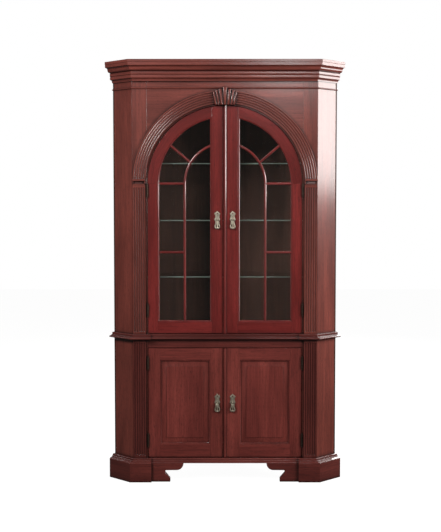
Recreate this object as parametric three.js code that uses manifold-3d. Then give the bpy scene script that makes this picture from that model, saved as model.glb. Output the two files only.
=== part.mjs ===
// A mahogany corner china cabinet: arched glass doors over raised-panel doors, fluted pilasters,
// a reeded arch with a fanned keystone, a stepped cornice and a plinth on bracket feet.
// Millimetres, +Z up. X runs along the flat front, the front faces -Y, and the two canted returns
// run back at 45 degrees to the two walls of a room corner, which meet behind the cabinet.
import * as THREE from 'three';
import { mergeVertices } from 'three/addons/utils/BufferGeometryUtils.js';
import Module from 'manifold-3d';

const wasm = await Module();
wasm.setup();

// ---------------------------------------------------------------- driving dimensions
const HEIGHT = 2138;
const FRONT_HALF = 469; // half the width of the flat front
const RETURN_RUN = 105; // how far a canted return runs back, and out
const BOARD = 22; // stiles, rails and sides
const BACK = 9; // back boards
const SHELF_BOARD = 18; // case floor, deck, case top and wooden shelf
const TOUCH = 0.3; // air between faces that meet at an angle
const WALL_AIR = 1; // mouldings stop this far short of the walls
const LAP = 0.5; // how far the parts of one joined piece run into each other
const CUT_OVER = 0.001; // a cut starts this far outside the face that it opens

// Face frame
const SPANDREL_TIP = 30; // the spandrel board's tips stop this far above the spring line
const PLANT = 13; // how far pilasters and arch stand proud of the face frame
const PILASTER = 64;
const PILASTER_EDGE = 8; // stile left showing between the pilaster and the door opening
const PILASTER_MARGIN = 2.5; // and between the pilaster and the near corner
const FLUTES = 5;
const FLUTE_MARGIN = 8.4; // from the pilaster's edge to the middle of its first flute
const FLUTE_RADIUS = 3.7;
const FLUTE_DEPTH = 3.2;
const FLUTE_END = 13; // plain pilaster left below the flutes
const FLUTE_HEAD = 13; // and above them
const ARCH_STEPS = 40; // flats round the arch
const ARCH_EDGE = 5.5; // plain edge of the arch that runs down beside the impost
const IMPOST = { height: 32, fillet: 12.5, rise: 24.5, inset: 4, out: 4, neckSet: 5, neckIn: 2 };

// Heights that are set by themselves
const PLINTH_HEIGHT = 120;
const WAIST_TOP = 757; // deck level of the upper case
const WAIST_HEIGHT = 30;
const LOWER_RAIL = 70; // deck level down to the lower door opening
const CORNICE_HEIGHT = 104;
const TOP_SET = 4; // case top below the top of the cornice
const BEAD_TOP = 134; // necking bead, down from the top of the cabinet
const ARCH_BELOW_BEAD = 8.5; // crown of the reeded arch below the necking bead

// Mouldings
const CORNICE_OUT = 54; // projection on the returns
const CORNICE_PACKING = 6; // the front length is packed this much further out
const BEAD_OUT = 7;
const BEAD_HEIGHT = 8;
const WAIST_OUT = 35;
const WAIST_FRONT_OUT = 22;
const WAIST_BREAK = 13; // breakfront under each pilaster
const PLINTH_OUT = 37;
const PLINTH_FRONT_OUT = 23;
const BLOCK_OUT = 14; // plinth block under each pilaster
const BREAK_LAP = 27; // blocks and breakfronts start this far inside the pilaster edge
const BLOCK_END = 5; // block's outer end, in from the plinth's near corner

// Bracket feet
const APRON_BOTTOM = 97;
const FOOT = {
  lobe: { x: 247, r: 35, down: 2 }, // rounded end of the apron
  nose: { x: 299, z: 52.5, r: 7 }, // where the opening reaches furthest into the foot
  ankle: 20, // height where the foot turns upright
  inner: 280, // half distance between the feet at the floor
};

// Doors
const DOOR = 22; // thickness
const DOOR_SET = 1; // door face behind the face frame
const DOOR_GAP = 3;
const MEETING = 10; // the doors meet this far left of the middle, under the right door's bead
const UPPER_STILE = 58.5;
const UPPER_MEETING_STILE = 75; // from the middle to the glass
const UPPER_RAIL = 65.5;
const MUNTIN = 13;
const MUNTIN_SET = 2;
const REBATE_FRONT = 14; // glass rebate, behind the door face
const REBATE = 8;
const GLASS = 3;
const FIT = 1; // glass and panel play in their rebate or groove
const LOWER_STILE = 67.5;
const LOWER_MEETING_STILE = 83;
const LOWER_BOTTOM_RAIL = 74;
const LOWER_TOP_RAIL = 67;
const STICKING = 11;
const STICKING_DEPTH = 5;
const GROOVE = 8;
const TONGUE = 6;
const PANEL_BEVEL = 24;
const PANEL_MARGIN = 3;
const PANEL_RAISE = 7.5;
const ASTRAGAL_OUT = 8;
const ASTRAGAL_HALF = 8.5;

// Glazing pattern
const BRACE_OUTER_ANGLE = 34.9; // degrees above the spring line, on the glass edge
const BRACE_INNER_ANGLE = 31.4; // and on the inner arch

// Shelves
const SHELF_PITCH = 290;
const SHELVES = 3;
const SHELF_SET = 62; // shelf front behind the face frame
const GLASS_SHELF = 6;
const SHELF_PLAY = 2;
const CUPBOARD_SHELF = 300; // above the case floor
const POST = 40; // leg of the triangular rear post

// Hinges
const HINGE = 63;
const KNUCKLES = 5;
const KNUCKLE_RADIUS = 4.5;
const PIN_RADIUS = 2;
const PIN_PLAY = 0.45;
const LEAF = 1.2;
const LEAF_BACK = 0.5; // leaf set this far behind the knuckles
const LEAF_DEPTH = 17;
const HINGE_FROM_BOTTOM = 120; // hinge middle above the upper door's bottom edge
const HINGE_BELOW_SPRING = 35;
const LOWER_HINGE_INSET = 87; // hinge middle from the lower door's bottom edge
const LOWER_HINGE_TOP_INSET = 75;

// Pulls
const PULL_X = 39;
const UPPER_PULL = 581; // height of the swivel pin above the deck
const LOWER_PULL_DROP = 280; // swivel pin below the lower door's top edge
const PLATE = 2;
const SWIVEL_OUT = 8; // pin in front of the plate
const SWIVEL_RADIUS = 1.2;
const SWIVEL_PLAY = 0.3;
const EYE_WALL = 1.7;
const EYE = 3.6; // length of the drop's eye along the pin
const DROP_THICK = 2.4;

// Keystone
const KEY_BASE = 18; // ground of the keystone, proud of the face frame
const KEY_OUT = 25;
const KEY_GROUND_SET = 2; // ground below the tops of the outer wedges
const KEY_OVER_BEAD = 0.5; // the middle wedge rises this far above the bead
const KEY_WEDGES = [
  { top: [0, 11], bottom: [0, 4.7], drop: 0 },
  { top: [17.5, 31], bottom: [11, 22.5], drop: 10.5 },
  { top: [37, 48], bottom: [27, 37], drop: 17 },
  { top: [51.5, 61], bottom: [40.5, 50.5], drop: 24.5 },
];

// ---------------------------------------------------------------- derived places
const STILE = PILASTER_EDGE + PILASTER + PILASTER_MARGIN; // from the near corner to the door opening
const OPENING_HALF = FRONT_HALF - STILE;
const ARCH_CROWN = HEIGHT - BEAD_TOP - BEAD_HEIGHT - ARCH_BELOW_BEAD;
const SPRING = ARCH_CROWN - PILASTER - PILASTER_EDGE - OPENING_HALF;
const WALL = FRONT_HALF + 2 * RETURN_RUN; // walls meet this far behind the front plane
const CASE_TOP = HEIGHT - TOP_SET;
const BOARD_TOP = CASE_TOP - SHELF_BOARD;
const BEAD_Z = HEIGHT - BEAD_TOP - BEAD_HEIGHT / 2;
const PILASTER_IN = OPENING_HALF + PILASTER_EDGE;
const PILASTER_OUT = PILASTER_IN + PILASTER;
const FIRST_FLUTE = PILASTER_IN + FLUTE_MARGIN;
const FLUTE_PITCH = (PILASTER - 2 * FLUTE_MARGIN) / (FLUTES - 1);
const BREAK_START = PILASTER_IN - BREAK_LAP;
const IMPOST_TOP = SPRING + IMPOST.rise;
const RAIL_BOTTOM = WAIST_TOP - LOWER_RAIL;
const WAIST_BOTTOM = WAIST_TOP - WAIST_HEIGHT;
const DOOR_HALF = OPENING_HALF - DOOR_GAP;
const DOOR_FACE = DOOR_SET;
const DOOR_BACK = DOOR_SET + DOOR;
const UPPER_DOOR_Z = WAIST_TOP + DOOR_GAP;
const LOWER_DOOR_Z = [PLINTH_HEIGHT + DOOR_GAP, RAIL_BOTTOM - DOOR_GAP];
const MEETING_EDGE = { right: DOOR_GAP / 2 - MEETING, left: DOOR_GAP / 2 + MEETING };
const GLASS_Y = DOOR_FACE + REBATE_FRONT;
const PIVOT = { x: OPENING_HALF - DOOR_GAP / 2, y: -KNUCKLE_RADIUS };
const SIDES = { right: 1, left: -1 };

// ---------------------------------------------------------------- geometry helpers
const MAHOGANY = { color: 0x5a2a25, roughness: 0.35, metalness: 0 };
const RED_MAHOGANY = { color: 0x702a27, roughness: 0.32, metalness: 0 };
const DARK_MAHOGANY = { color: 0x43201c, roughness: 0.4, metalness: 0 };
const INSIDE = { color: 0x2c1a16, roughness: 0.6, metalness: 0 };
const GLAZING = { color: 0xb9c6c2, roughness: 0.05, metalness: 0, transparent: true, opacity: 0.3 };
const BRASS = { color: 0x86785f, roughness: 0.45, metalness: 0.9 };

const cabinet = new THREE.Group();
const rad = (degrees) => (degrees * Math.PI) / 180;

function add(name, geometry, finish) {
  const mesh = new THREE.Mesh(geometry, new THREE.MeshStandardMaterial(finish));
  mesh.name = name;
  cabinet.add(mesh);
  return mesh;
}

// A closed mesh as a solid that can be cut and joined.
function solid(geometry) {
  const bare = geometry.clone();
  for (const attribute of ['normal', 'uv', 'uv1']) bare.deleteAttribute(attribute);
  const merged = mergeVertices(bare, 1e-4);
  const mesh = new wasm.Mesh({
    numProp: 3,
    vertProperties: new Float32Array(merged.attributes.position.array),
    triVerts: new Uint32Array(merged.index.array),
  });
  return new wasm.Manifold(mesh);
}

// A cut or joined solid back as a geometry.
function shape(manifold) {
  const mesh = manifold.getMesh();
  const geometry = new THREE.BufferGeometry();
  const points = new Float32Array(mesh.triVerts.length * 3);
  mesh.triVerts.forEach((vertex, corner) => {
    for (let axis = 0; axis < 3; axis += 1) {
      points[corner * 3 + axis] = mesh.vertProperties[vertex * mesh.numProp + axis];
    }
  });
  geometry.setAttribute('position', new THREE.BufferAttribute(points, 3));
  geometry.computeVertexNormals();
  return geometry;
}

function box(x0, x1, y0, y1, z0, z1) {
  const geometry = new THREE.BoxGeometry(x1 - x0, y1 - y0, z1 - z0);
  return geometry.translate((x0 + x1) / 2, (y0 + y1) / 2, (z0 + z1) / 2);
}

// A board cut to a plan outline of [x, y] points.
function slab(outline, z0, z1) {
  const plan = new THREE.Shape(outline.map(([x, y]) => new THREE.Vector2(x, y)));
  return new THREE.ExtrudeGeometry(plan, { depth: z1 - z0, bevelEnabled: false }).translate(0, 0, z0);
}

// A board cut to an elevation drawn in x and z, from y0 back to y1.
function panel(elevation, y0, y1, curveSegments = 24) {
  const cut = { depth: y1 - y0, bevelEnabled: false, curveSegments };
  const geometry = new THREE.ExtrudeGeometry(elevation, cut);
  return geometry.rotateX(Math.PI / 2).translate(0, y1, 0);
}

// The same geometry on the other hand.
function mirrored(geometry) {
  const other = (geometry.index ? geometry.toNonIndexed() : geometry.clone());
  const points = other.attributes.position;
  for (let corner = 0; corner < points.count; corner += 3) {
    const first = new THREE.Vector3().fromBufferAttribute(points, corner);
    const last = new THREE.Vector3().fromBufferAttribute(points, corner + 2);
    const middle = new THREE.Vector3().fromBufferAttribute(points, corner + 1);
    points.setXYZ(corner, -last.x, last.y, last.z);
    points.setXYZ(corner + 1, -middle.x, middle.y, middle.z);
    points.setXYZ(corner + 2, -first.x, first.y, first.z);
  }
  for (const attribute of ['uv', 'normal']) other.deleteAttribute(attribute);
  other.computeVertexNormals();
  return other;
}

const handed = (geometry, side) => (side === 'right' ? geometry : mirrored(geometry));

// A closed body through stations, each the same closed section of 3-D points, with flat ends.
// Sections may run either way round: the faces are turned to point outwards.
function loft(stations, section) {
  const count = section.length;
  const faces = [];
  for (let s = 0; s + 1 < stations.length; s += 1) {
    for (let i = 0; i < count; i += 1) {
      const next = (i + 1) % count;
      const quad = [stations[s][i], stations[s][next], stations[s + 1][next], stations[s + 1][i]];
      faces.push([quad[0], quad[1], quad[2]], [quad[0], quad[2], quad[3]]);
    }
  }
  const outline = section.map(([u, v]) => new THREE.Vector2(u, v));
  const turned = THREE.ShapeUtils.area(outline) < 0;
  const last = stations[stations.length - 1];
  for (const cap of THREE.ShapeUtils.triangulateShape(outline, [])) {
    const [a, b, c] = turned ? [cap[0], cap[2], cap[1]] : cap;
    faces.push([stations[0][c], stations[0][b], stations[0][a]], [last[a], last[b], last[c]]);
  }
  const corner = faces.map((face) => face.map((p) => new THREE.Vector3(...p)));
  const volume = corner.reduce((sum, [a, b, c]) => sum + a.dot(b.clone().cross(c)), 0);
  const ordered = volume < 0 ? faces.map(([a, b, c]) => [a, c, b]) : faces;
  const geometry = new THREE.BufferGeometry();
  geometry.setAttribute('position', new THREE.BufferAttribute(new Float32Array(ordered.flat(2)), 3));
  geometry.computeVertexNormals();
  return geometry;
}

// ---------------------------------------------------------------- plan of the case
// Where the front and the right return meet, both faces moved outwards.
const nearCorner = (front, side) => [FRONT_HALF + Math.SQRT2 * side - front, -front];

// A point on the right return, moved outwards and held off the wall.
const onReturn = (side, offWall) => [
  FRONT_HALF + RETURN_RUN + (side - offWall) / Math.SQRT2,
  RETURN_RUN - (side + offWall) / Math.SQRT2,
];

const wallAt = (offWall, y) => [WALL - Math.SQRT2 * offWall - y, y];
const mirrorPlan = (points) => [...points, ...points.map(([x, y]) => [-x, y]).reverse()];

// The space inside the sides and backs, from a front line to the rear post.
function insidePlan(front, play) {
  const inset = BOARD + play;
  const rear = WALL - Math.SQRT2 * (BACK + play) - POST / Math.SQRT2 - play;
  const meets = FRONT_HALF - Math.SQRT2 * inset + front;
  return [
    [Math.max(meets, 0), front],
    onReturn(-inset, BACK + play),
    wallAt(BACK + play, rear),
  ];
}

// A moulding carried round the front and both returns. The section lists [out, height] from its
// back upwards; points marked with a third value stay on the case.
function moulding(section, frontOut) {
  const forward = (out, seated) => (seated ? out : frontOut(out));
  const along = (place) => section.map(([out, z, seated]) => [...place(out, forward(out, seated)), z]);
  const near = (out, front) => nearCorner(front, out);
  const far = (out) => onReturn(out, WALL_AIR);
  const flip = (place) => (out, front) => {
    const [x, y] = place(out, front);
    return [-x, y];
  };
  return loft([along(flip(far)), along(flip(near)), along(near), along(far)], section);
}

// ---------------------------------------------------------------- case
function addCase() {
  const mitre = TOUCH * Math.SQRT2;
  const [innerX, innerY] = nearCorner(-BOARD, -BOARD);
  const sideBoard = slab(
    [[FRONT_HALF, 0], onReturn(0, BACK + TOUCH), onReturn(-BOARD, BACK + TOUCH), [innerX, innerY]],
    0,
    BOARD_TOP,
  );
  const stile = slab(
    [[OPENING_HALF, 0], [FRONT_HALF - mitre, 0], [innerX - mitre, innerY], [OPENING_HALF, innerY]],
    0,
    BOARD_TOP,
  );
  const backBoard = slab(
    [onReturn(0, 0), [TOUCH, WALL - TOUCH], [TOUCH, WALL - TOUCH - Math.SQRT2 * BACK], onReturn(0, BACK)],
    PLINTH_HEIGHT - SHELF_BOARD,
    BOARD_TOP,
  );
  for (const side of Object.keys(SIDES)) {
    add(`side_${side}`, handed(sideBoard, side), MAHOGANY);
    add(`stile_${side}`, handed(stile, side), MAHOGANY);
    add(`back_${side}`, handed(backBoard, side), INSIDE);
  }
  const corner = WALL - Math.SQRT2 * (BACK + TOUCH);
  const reach = POST / Math.SQRT2;
  const post = slab([[0, corner], [-reach, corner - reach], [reach, corner - reach]], 0, BOARD_TOP);
  add('rear_post', post, INSIDE);
  const [farX, farY] = onReturn(0, 0);
  const lid = [[FRONT_HALF, 0], [farX, farY], [0, WALL], [-farX, farY], [-FRONT_HALF, 0]];
  add('case_top', slab(lid, BOARD_TOP, CASE_TOP), DARK_MAHOGANY);
}

// A floor that comes forward between the stiles to the face of the cabinet.
function notchedFloor(z0, z1) {
  const behind = BOARD + TOUCH;
  const plan = [[OPENING_HALF - TOUCH, 0], [OPENING_HALF - TOUCH, behind], ...insidePlan(behind, TOUCH)];
  return slab(mirrorPlan(plan), z0, z1);
}

function addFloorsAndShelves() {
  add('case_floor', notchedFloor(PLINTH_HEIGHT - SHELF_BOARD, PLINTH_HEIGHT), DARK_MAHOGANY);
  add('deck', notchedFloor(WAIST_TOP - SHELF_BOARD, WAIST_TOP), DARK_MAHOGANY);
  const shelf = (z, thick) => slab(mirrorPlan(insidePlan(SHELF_SET, SHELF_PLAY)), z - thick, z);
  add('cupboard_shelf', shelf(PLINTH_HEIGHT + CUPBOARD_SHELF, SHELF_BOARD), DARK_MAHOGANY);
  for (let n = 1; n <= SHELVES; n += 1) {
    add(`glass_shelf_${n}`, shelf(WAIST_TOP + n * SHELF_PITCH, GLASS_SHELF), GLAZING);
  }
}

// ---------------------------------------------------------------- face frame
function addFaceFrame() {
  const half = OPENING_HALF;
  const tip = Math.asin(SPANDREL_TIP / half);
  const spandrel = new THREE.Shape();
  spandrel.moveTo(half - TOUCH, SPRING + SPANDREL_TIP);
  spandrel.lineTo(half - TOUCH, BOARD_TOP);
  spandrel.lineTo(-half + TOUCH, BOARD_TOP);
  spandrel.lineTo(-half + TOUCH, SPRING + SPANDREL_TIP);
  spandrel.absarc(0, SPRING, half, Math.PI - tip, tip, true);
  add('arch_spandrel', panel(spandrel, 0, BOARD, 48), MAHOGANY);
  const bottom = RAIL_BOTTOM;
  const top = WAIST_TOP - SHELF_BOARD;
  add('lower_rail', box(-half + TOUCH, half - TOUCH, 0, BOARD, bottom, top), MAHOGANY);
}

// Flutes in a straight pilaster: round-ended half-round grooves.
function flutes(z0, z1) {
  const length = z1 - z0 - 2 * FLUTE_RADIUS;
  const cutters = [];
  for (let n = 0; n < FLUTES; n += 1) {
    const cutter = new THREE.CapsuleGeometry(FLUTE_RADIUS, length, 2, 8);
    cutter.rotateX(Math.PI / 2);
    cutter.translate(FIRST_FLUTE + n * FLUTE_PITCH, -PLANT - FLUTE_RADIUS + FLUTE_DEPTH, (z0 + z1) / 2);
    cutters.push(solid(cutter));
  }
  return cutters;
}

function pilaster(z0, z1, impost) {
  const head = impost ? z1 - impost.height : z1;
  let made = solid(box(PILASTER_IN, PILASTER_OUT, -PLANT, 0, z0, head));
  for (const cutter of flutes(z0 + FLUTE_END, head - FLUTE_HEAD)) made = made.subtract(cutter);
  if (impost) {
    const neckTop = z1 - impost.fillet;
    const x0 = PILASTER_IN + ARCH_EDGE;
    const x1 = PILASTER_OUT - impost.inset;
    const neckFace = impost.neckSet - PLANT;
    const neck = box(x0 + impost.neckIn, x1 - impost.neckIn, neckFace, 0, head - LAP, neckTop);
    const cap = box(x0, x1, -PLANT - impost.out, 0, neckTop - LAP, z1);
    made = made.add(solid(neck)).add(solid(cap));
  }
  return shape(made);
}

function addPilasters() {
  const upper = pilaster(WAIST_TOP, IMPOST_TOP, IMPOST);
  const lower = pilaster(PLINTH_HEIGHT, WAIST_BOTTOM, null);
  for (const side of Object.keys(SIDES)) {
    add(`pilaster_upper_${side}`, handed(upper, side), MAHOGANY);
    add(`pilaster_lower_${side}`, handed(lower, side), DARK_MAHOGANY);
  }
}

// The arch carries the pilasters' width and flutes round the door heads, down to the imposts.
function archSection() {
  const section = [[PILASTER_OUT, 0], [PILASTER_IN, 0], [PILASTER_IN, -PLANT]];
  for (let n = 0; n < FLUTES; n += 1) {
    const middle = FIRST_FLUTE + n * FLUTE_PITCH;
    section.push([middle - FLUTE_RADIUS, -PLANT]);
    section.push([middle - FLUTE_RADIUS * 0.5, -PLANT + FLUTE_DEPTH]);
    section.push([middle + FLUTE_RADIUS * 0.5, -PLANT + FLUTE_DEPTH]);
    section.push([middle + FLUTE_RADIUS, -PLANT]);
  }
  section.push([PILASTER_OUT, -PLANT]);
  return section;
}

function archRing(section) {
  const stations = [];
  for (let n = 0; n <= ARCH_STEPS; n += 1) {
    const angle = Math.PI * (1 - n / ARCH_STEPS);
    stations.push(section.map(([r, y]) => [r * Math.cos(angle), y, SPRING + r * Math.sin(angle)]));
  }
  return loft(stations, section);
}

function addArch() {
  let ring = solid(archRing(archSection()));
  const x0 = PILASTER_IN + ARCH_EDGE - TOUCH;
  const overImpost = box(x0, FRONT_HALF + BOARD, -BOARD, BOARD, SPRING - BOARD, IMPOST_TOP + TOUCH);
  for (const side of Object.keys(SIDES)) ring = ring.subtract(solid(handed(overImpost, side)));
  add('archivolt', shape(ring), MAHOGANY);
}

// ---------------------------------------------------------------- keystone
function wedge(top, bottom, z0, z1, out) {
  const face = new THREE.Shape();
  face.moveTo(bottom[0], z0);
  face.lineTo(bottom[1], z0);
  face.lineTo(top[1], z1);
  face.lineTo(top[0], z1);
  return solid(panel(face, -out, 0));
}

function addKeystone() {
  const foot = SPRING + OPENING_HALF;
  const crest = HEIGHT - BEAD_TOP + KEY_OVER_BEAD;
  const outer = KEY_WEDGES[KEY_WEDGES.length - 1];
  const groundTop = crest - outer.drop - KEY_GROUND_SET;
  const topHalf = outer.top[1] - 1;
  const footHalf = outer.bottom[1] - 1;
  let made = wedge([-topHalf, topHalf], [-footHalf, footHalf], foot, groundTop, KEY_BASE);
  for (const { top, bottom, drop } of KEY_WEDGES) {
    const reach = crest - drop;
    const middle = top[0] === 0;
    const inner = middle ? { top: -top[1], bottom: -bottom[1] } : { top: top[0], bottom: bottom[0] };
    made = made.add(wedge([inner.top, top[1]], [inner.bottom, bottom[1]], foot, reach, KEY_OUT));
    if (middle) continue;
    made = made.add(wedge([-top[1], -inner.top], [-bottom[1], -inner.bottom], foot, reach, KEY_OUT));
  }
  const seat = [
    [PILASTER_OUT + TOUCH, BOARD],
    [PILASTER_IN - TOUCH, BOARD],
    [PILASTER_IN - TOUCH, -PLANT - TOUCH],
    [PILASTER_OUT + TOUCH, -PLANT - TOUCH],
  ];
  const beadFoot = BEAD_Z - BEAD_HEIGHT / 2 - TOUCH;
  const beadSeat = box(-FRONT_HALF, FRONT_HALF, -BEAD_OUT - TOUCH, BOARD, beadFoot, HEIGHT);
  made = made.subtract(solid(archRing(seat))).subtract(solid(beadSeat));
  add('keystone', shape(made), MAHOGANY);
}

// ---------------------------------------------------------------- mouldings
function cornice() {
  const foot = HEIGHT - CORNICE_HEIGHT;
  const profile = [
    [0.12, 0], [0.14, 3], [0.2, 9], [0.24, 14], [0.34, 14.5], [0.37, 18], [0.37, 27], [0.33, 30],
    [0.38, 33], [0.39, 44], [0.36, 47], [0.44, 49], [0.58, 52], [0.65, 57], [0.69, 62],
    [0.76, 67], [0.95, 72], [0.97, 86], [1, 87.5], [1, 100],
  ];
  const rise = CORNICE_HEIGHT / 100;
  const faces = profile.map(([share, up]) => [share * CORNICE_OUT, foot + up * rise]);
  const back = [[TOUCH, HEIGHT, true], [TOUCH, foot, true]];
  return moulding([...faces, ...back], (out) => out + CORNICE_PACKING);
}

function neckingBead() {
  const section = [];
  const steps = 6;
  for (let n = 0; n <= steps; n += 1) {
    const angle = (Math.PI * n) / steps - Math.PI / 2;
    const out = TOUCH + (BEAD_OUT - TOUCH) * Math.cos(angle);
    section.push([out, BEAD_Z + (BEAD_HEIGHT / 2) * Math.sin(angle)]);
  }
  return moulding(section, (out) => out);
}

// The waist nose: shares of the projection, and heights down from the deck.
const WAIST_PROFILE = [
  [0.28, 30], [0.36, 28], [0.42, 26], [0.86, 25], [0.97, 23], [1, 21], [0.97, 18.5], [0.88, 17],
  [0.6, 15], [0.47, 11.5], [0.42, 7], [0.42, 2], [0.36, 0],
];

function waist(out, frontOut) {
  const drop = WAIST_HEIGHT / 30;
  const faces = WAIST_PROFILE.map(([share, down]) => [share * out, WAIST_TOP - down * drop]);
  const back = [[TOUCH, WAIST_TOP, true], [TOUCH, WAIST_BOTTOM, true]];
  return moulding([...faces, ...back], (o) => (o / out) * frontOut);
}

// The plinth top: shares of the projection, and heights down from the case floor.
const PLINTH_PROFILE = [
  [1, 24],
  [0.96, 20.5],
  [0.86, 18],
  [0.6, 15],
  [0.48, 12],
  [0.45, 8.5],
  [0.4, 4],
  [0.25, 0],
];

function plinthFrame(out, frontOut) {
  const faces = [[out, 0], ...PLINTH_PROFILE.map(([share, down]) => [share * out, PLINTH_HEIGHT - down])];
  const back = [[TOUCH, PLINTH_HEIGHT, true], [TOUCH, 0, true]];
  return moulding([...faces, ...back], (o) => (o / out) * frontOut);
}

// The lengths of a moulding set further forward that stand under the two pilasters.
function breakfront(forward, end) {
  const slice = solid(box(BREAK_START, end, -RETURN_RUN, BOARD, 0, HEIGHT));
  const piece = slice.intersect(solid(forward));
  return [piece, solid(mirrored(shape(piece)))];
}

function addMouldings() {
  add('cornice', cornice(), MAHOGANY);
  add('necking_bead', neckingBead(), MAHOGANY);

  let nose = solid(waist(WAIST_OUT, WAIST_FRONT_OUT));
  const noseForward = waist(WAIST_OUT, WAIST_FRONT_OUT + WAIST_BREAK);
  const noseEnd = nearCorner(WAIST_FRONT_OUT, WAIST_OUT)[0];
  for (const piece of breakfront(noseForward, noseEnd)) nose = nose.add(piece);
  add('waist_moulding', shape(nose), MAHOGANY);

  let base = solid(plinthFrame(PLINTH_OUT, PLINTH_FRONT_OUT));
  const baseForward = plinthFrame(PLINTH_OUT, PLINTH_FRONT_OUT + BLOCK_OUT);
  const blockEnd = nearCorner(PLINTH_FRONT_OUT, PLINTH_OUT)[0] - BLOCK_END;
  for (const piece of breakfront(baseForward, blockEnd)) base = base.add(piece);
  add('plinth', shape(base.subtract(solid(feetCutout()))), DARK_MAHOGANY);
}

// The opening between the bracket feet: a flat apron that ends in a lobe, a nose and an upright foot.
function feetCutout() {
  const { lobe, nose, ankle, inner } = FOOT;
  const half = [[lobe.x - lobe.r, APRON_BOTTOM]];
  const arc = (cx, cz, r, from, to, steps) => {
    for (let n = 0; n <= steps; n += 1) {
      const angle = rad(from + ((to - from) * n) / steps);
      half.push([cx + r * Math.cos(angle), cz + r * Math.sin(angle)]);
    }
  };
  arc(lobe.x, APRON_BOTTOM - lobe.down, lobe.r, 180, 270, 7);
  arc(nose.x, nose.z, nose.r, 90, -40, 4);
  half.push([inner, ankle]);
  half.push([inner, -BOARD]);
  const outline = new THREE.Shape();
  outline.moveTo(0, APRON_BOTTOM);
  for (const [x, z] of half) outline.lineTo(x, z);
  for (const [x, z] of half.reverse()) outline.lineTo(-x, z);
  return panel(outline, -4 * PLINTH_OUT, BOARD);
}

// ---------------------------------------------------------------- doors
// The outline of an upper door or its glass on the right hand: straight edge, floor and arch.
function archedOutline(x0, x1, z0, Path = THREE.Shape) {
  const outline = new Path();
  const top = Math.acos(x0 / x1);
  outline.moveTo(x0, z0);
  outline.lineTo(x1, z0);
  outline.lineTo(x1, SPRING);
  outline.absarc(0, SPRING, x1, 0, top, false);
  outline.lineTo(x0, z0);
  return outline;
}

const SIGHT = { inner: UPPER_MEETING_STILE, outer: DOOR_HALF - UPPER_STILE, foot: UPPER_DOOR_Z + UPPER_RAIL };

function sightOutline(grow, Path) {
  return archedOutline(SIGHT.inner - grow, SIGHT.outer + grow, SIGHT.foot - grow, Path);
}

function upperFrame(meeting) {
  const door = solid(panel(archedOutline(meeting, DOOR_HALF, UPPER_DOOR_Z), DOOR_FACE, DOOR_BACK));
  const hole = solid(panel(sightOutline(0), DOOR_FACE - 1, DOOR_BACK + 1));
  const rebate = solid(panel(sightOutline(REBATE), GLASS_Y, DOOR_BACK + 1));
  return door.subtract(hole).subtract(rebate);
}

function muntins() {
  const y0 = DOOR_FACE + MUNTIN_SET;
  const y1 = GLASS_Y - TOUCH;
  const radius = (SIGHT.inner + SIGHT.outer) / 2;
  const half = MUNTIN / 2;
  const arch = new THREE.Shape();
  arch.absarc(0, SPRING, radius + half, 0, Math.PI / 2, false);
  arch.absarc(0, SPRING, radius - half, Math.PI / 2, 0, true);
  const middle = (SPRING + SIGHT.foot) / 2;
  const from = new THREE.Vector2(Math.cos(rad(BRACE_OUTER_ANGLE)), Math.sin(rad(BRACE_OUTER_ANGLE)));
  const to = new THREE.Vector2(Math.cos(rad(BRACE_INNER_ANGLE)), Math.sin(rad(BRACE_INNER_ANGLE)));
  from.multiplyScalar(SIGHT.outer + MUNTIN);
  to.multiplyScalar(radius);
  const along = from.clone().sub(to).normalize();
  const across = new THREE.Vector2(-along.y, along.x).multiplyScalar(half);
  const brace = new THREE.Shape([
    to.clone().add(across),
    to.clone().sub(across),
    from.clone().sub(across),
    from.clone().add(across),
  ].map((p) => new THREE.Vector2(p.x, p.y + SPRING)));
  const bars = [
    panel(arch, y0, y1, 12),
    box(radius - half, radius + half, y0, y1, SIGHT.foot, SPRING + 1),
    box(radius, SIGHT.outer, y0, y1, SPRING - half, SPRING + half),
    box(radius, SIGHT.outer, y0, y1, middle - half, middle + half),
    panel(brace, y0, y1),
  ];
  const joined = bars.map(solid).reduce((all, bar) => all.add(bar));
  return joined.intersect(solid(panel(sightOutline(-TOUCH), DOOR_FACE, DOOR_BACK)));
}

// A block whose front is smaller all round than its back.
function bevelled(x0, x1, z0, z1, inset, yFront, yBack) {
  const rectangle = (by) => [
    [x0 + by, z0 + by],
    [x1 - by, z0 + by],
    [x1 - by, z1 - by],
    [x0 + by, z1 - by],
  ];
  const at = (by, y) => rectangle(by).map(([x, z]) => [x, y, z]);
  return solid(loft([at(inset, yFront), at(0, yBack)], rectangle(0)));
}

const PANEL = {
  x0: LOWER_MEETING_STILE,
  x1: DOOR_HALF - LOWER_STILE,
  z0: LOWER_DOOR_Z[0] + LOWER_BOTTOM_RAIL,
  z1: LOWER_DOOR_Z[1] - LOWER_TOP_RAIL,
};
const GROOVE_Y = DOOR_FACE + (DOOR - TONGUE) / 2;

function lowerFrame(meeting) {
  const { x0, x1, z0, z1 } = PANEL;
  const door = solid(box(meeting, DOOR_HALF, DOOR_FACE, DOOR_BACK, ...LOWER_DOOR_Z));
  const hole = solid(box(x0, x1, DOOR_FACE - 1, DOOR_BACK + 1, z0, z1));
  const slot = box(x0 - GROOVE, x1 + GROOVE, GROOVE_Y, GROOVE_Y + TONGUE, z0 - GROOVE, z1 + GROOVE);
  const groove = solid(slot);
  const s = STICKING;
  const foot = DOOR_FACE + STICKING_DEPTH;
  const chamfer = bevelled(x0 - s, x1 + s, z0 - s, z1 + s, s, foot, DOOR_FACE - CUT_OVER);
  return door.subtract(hole).subtract(groove).subtract(chamfer);
}

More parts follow.
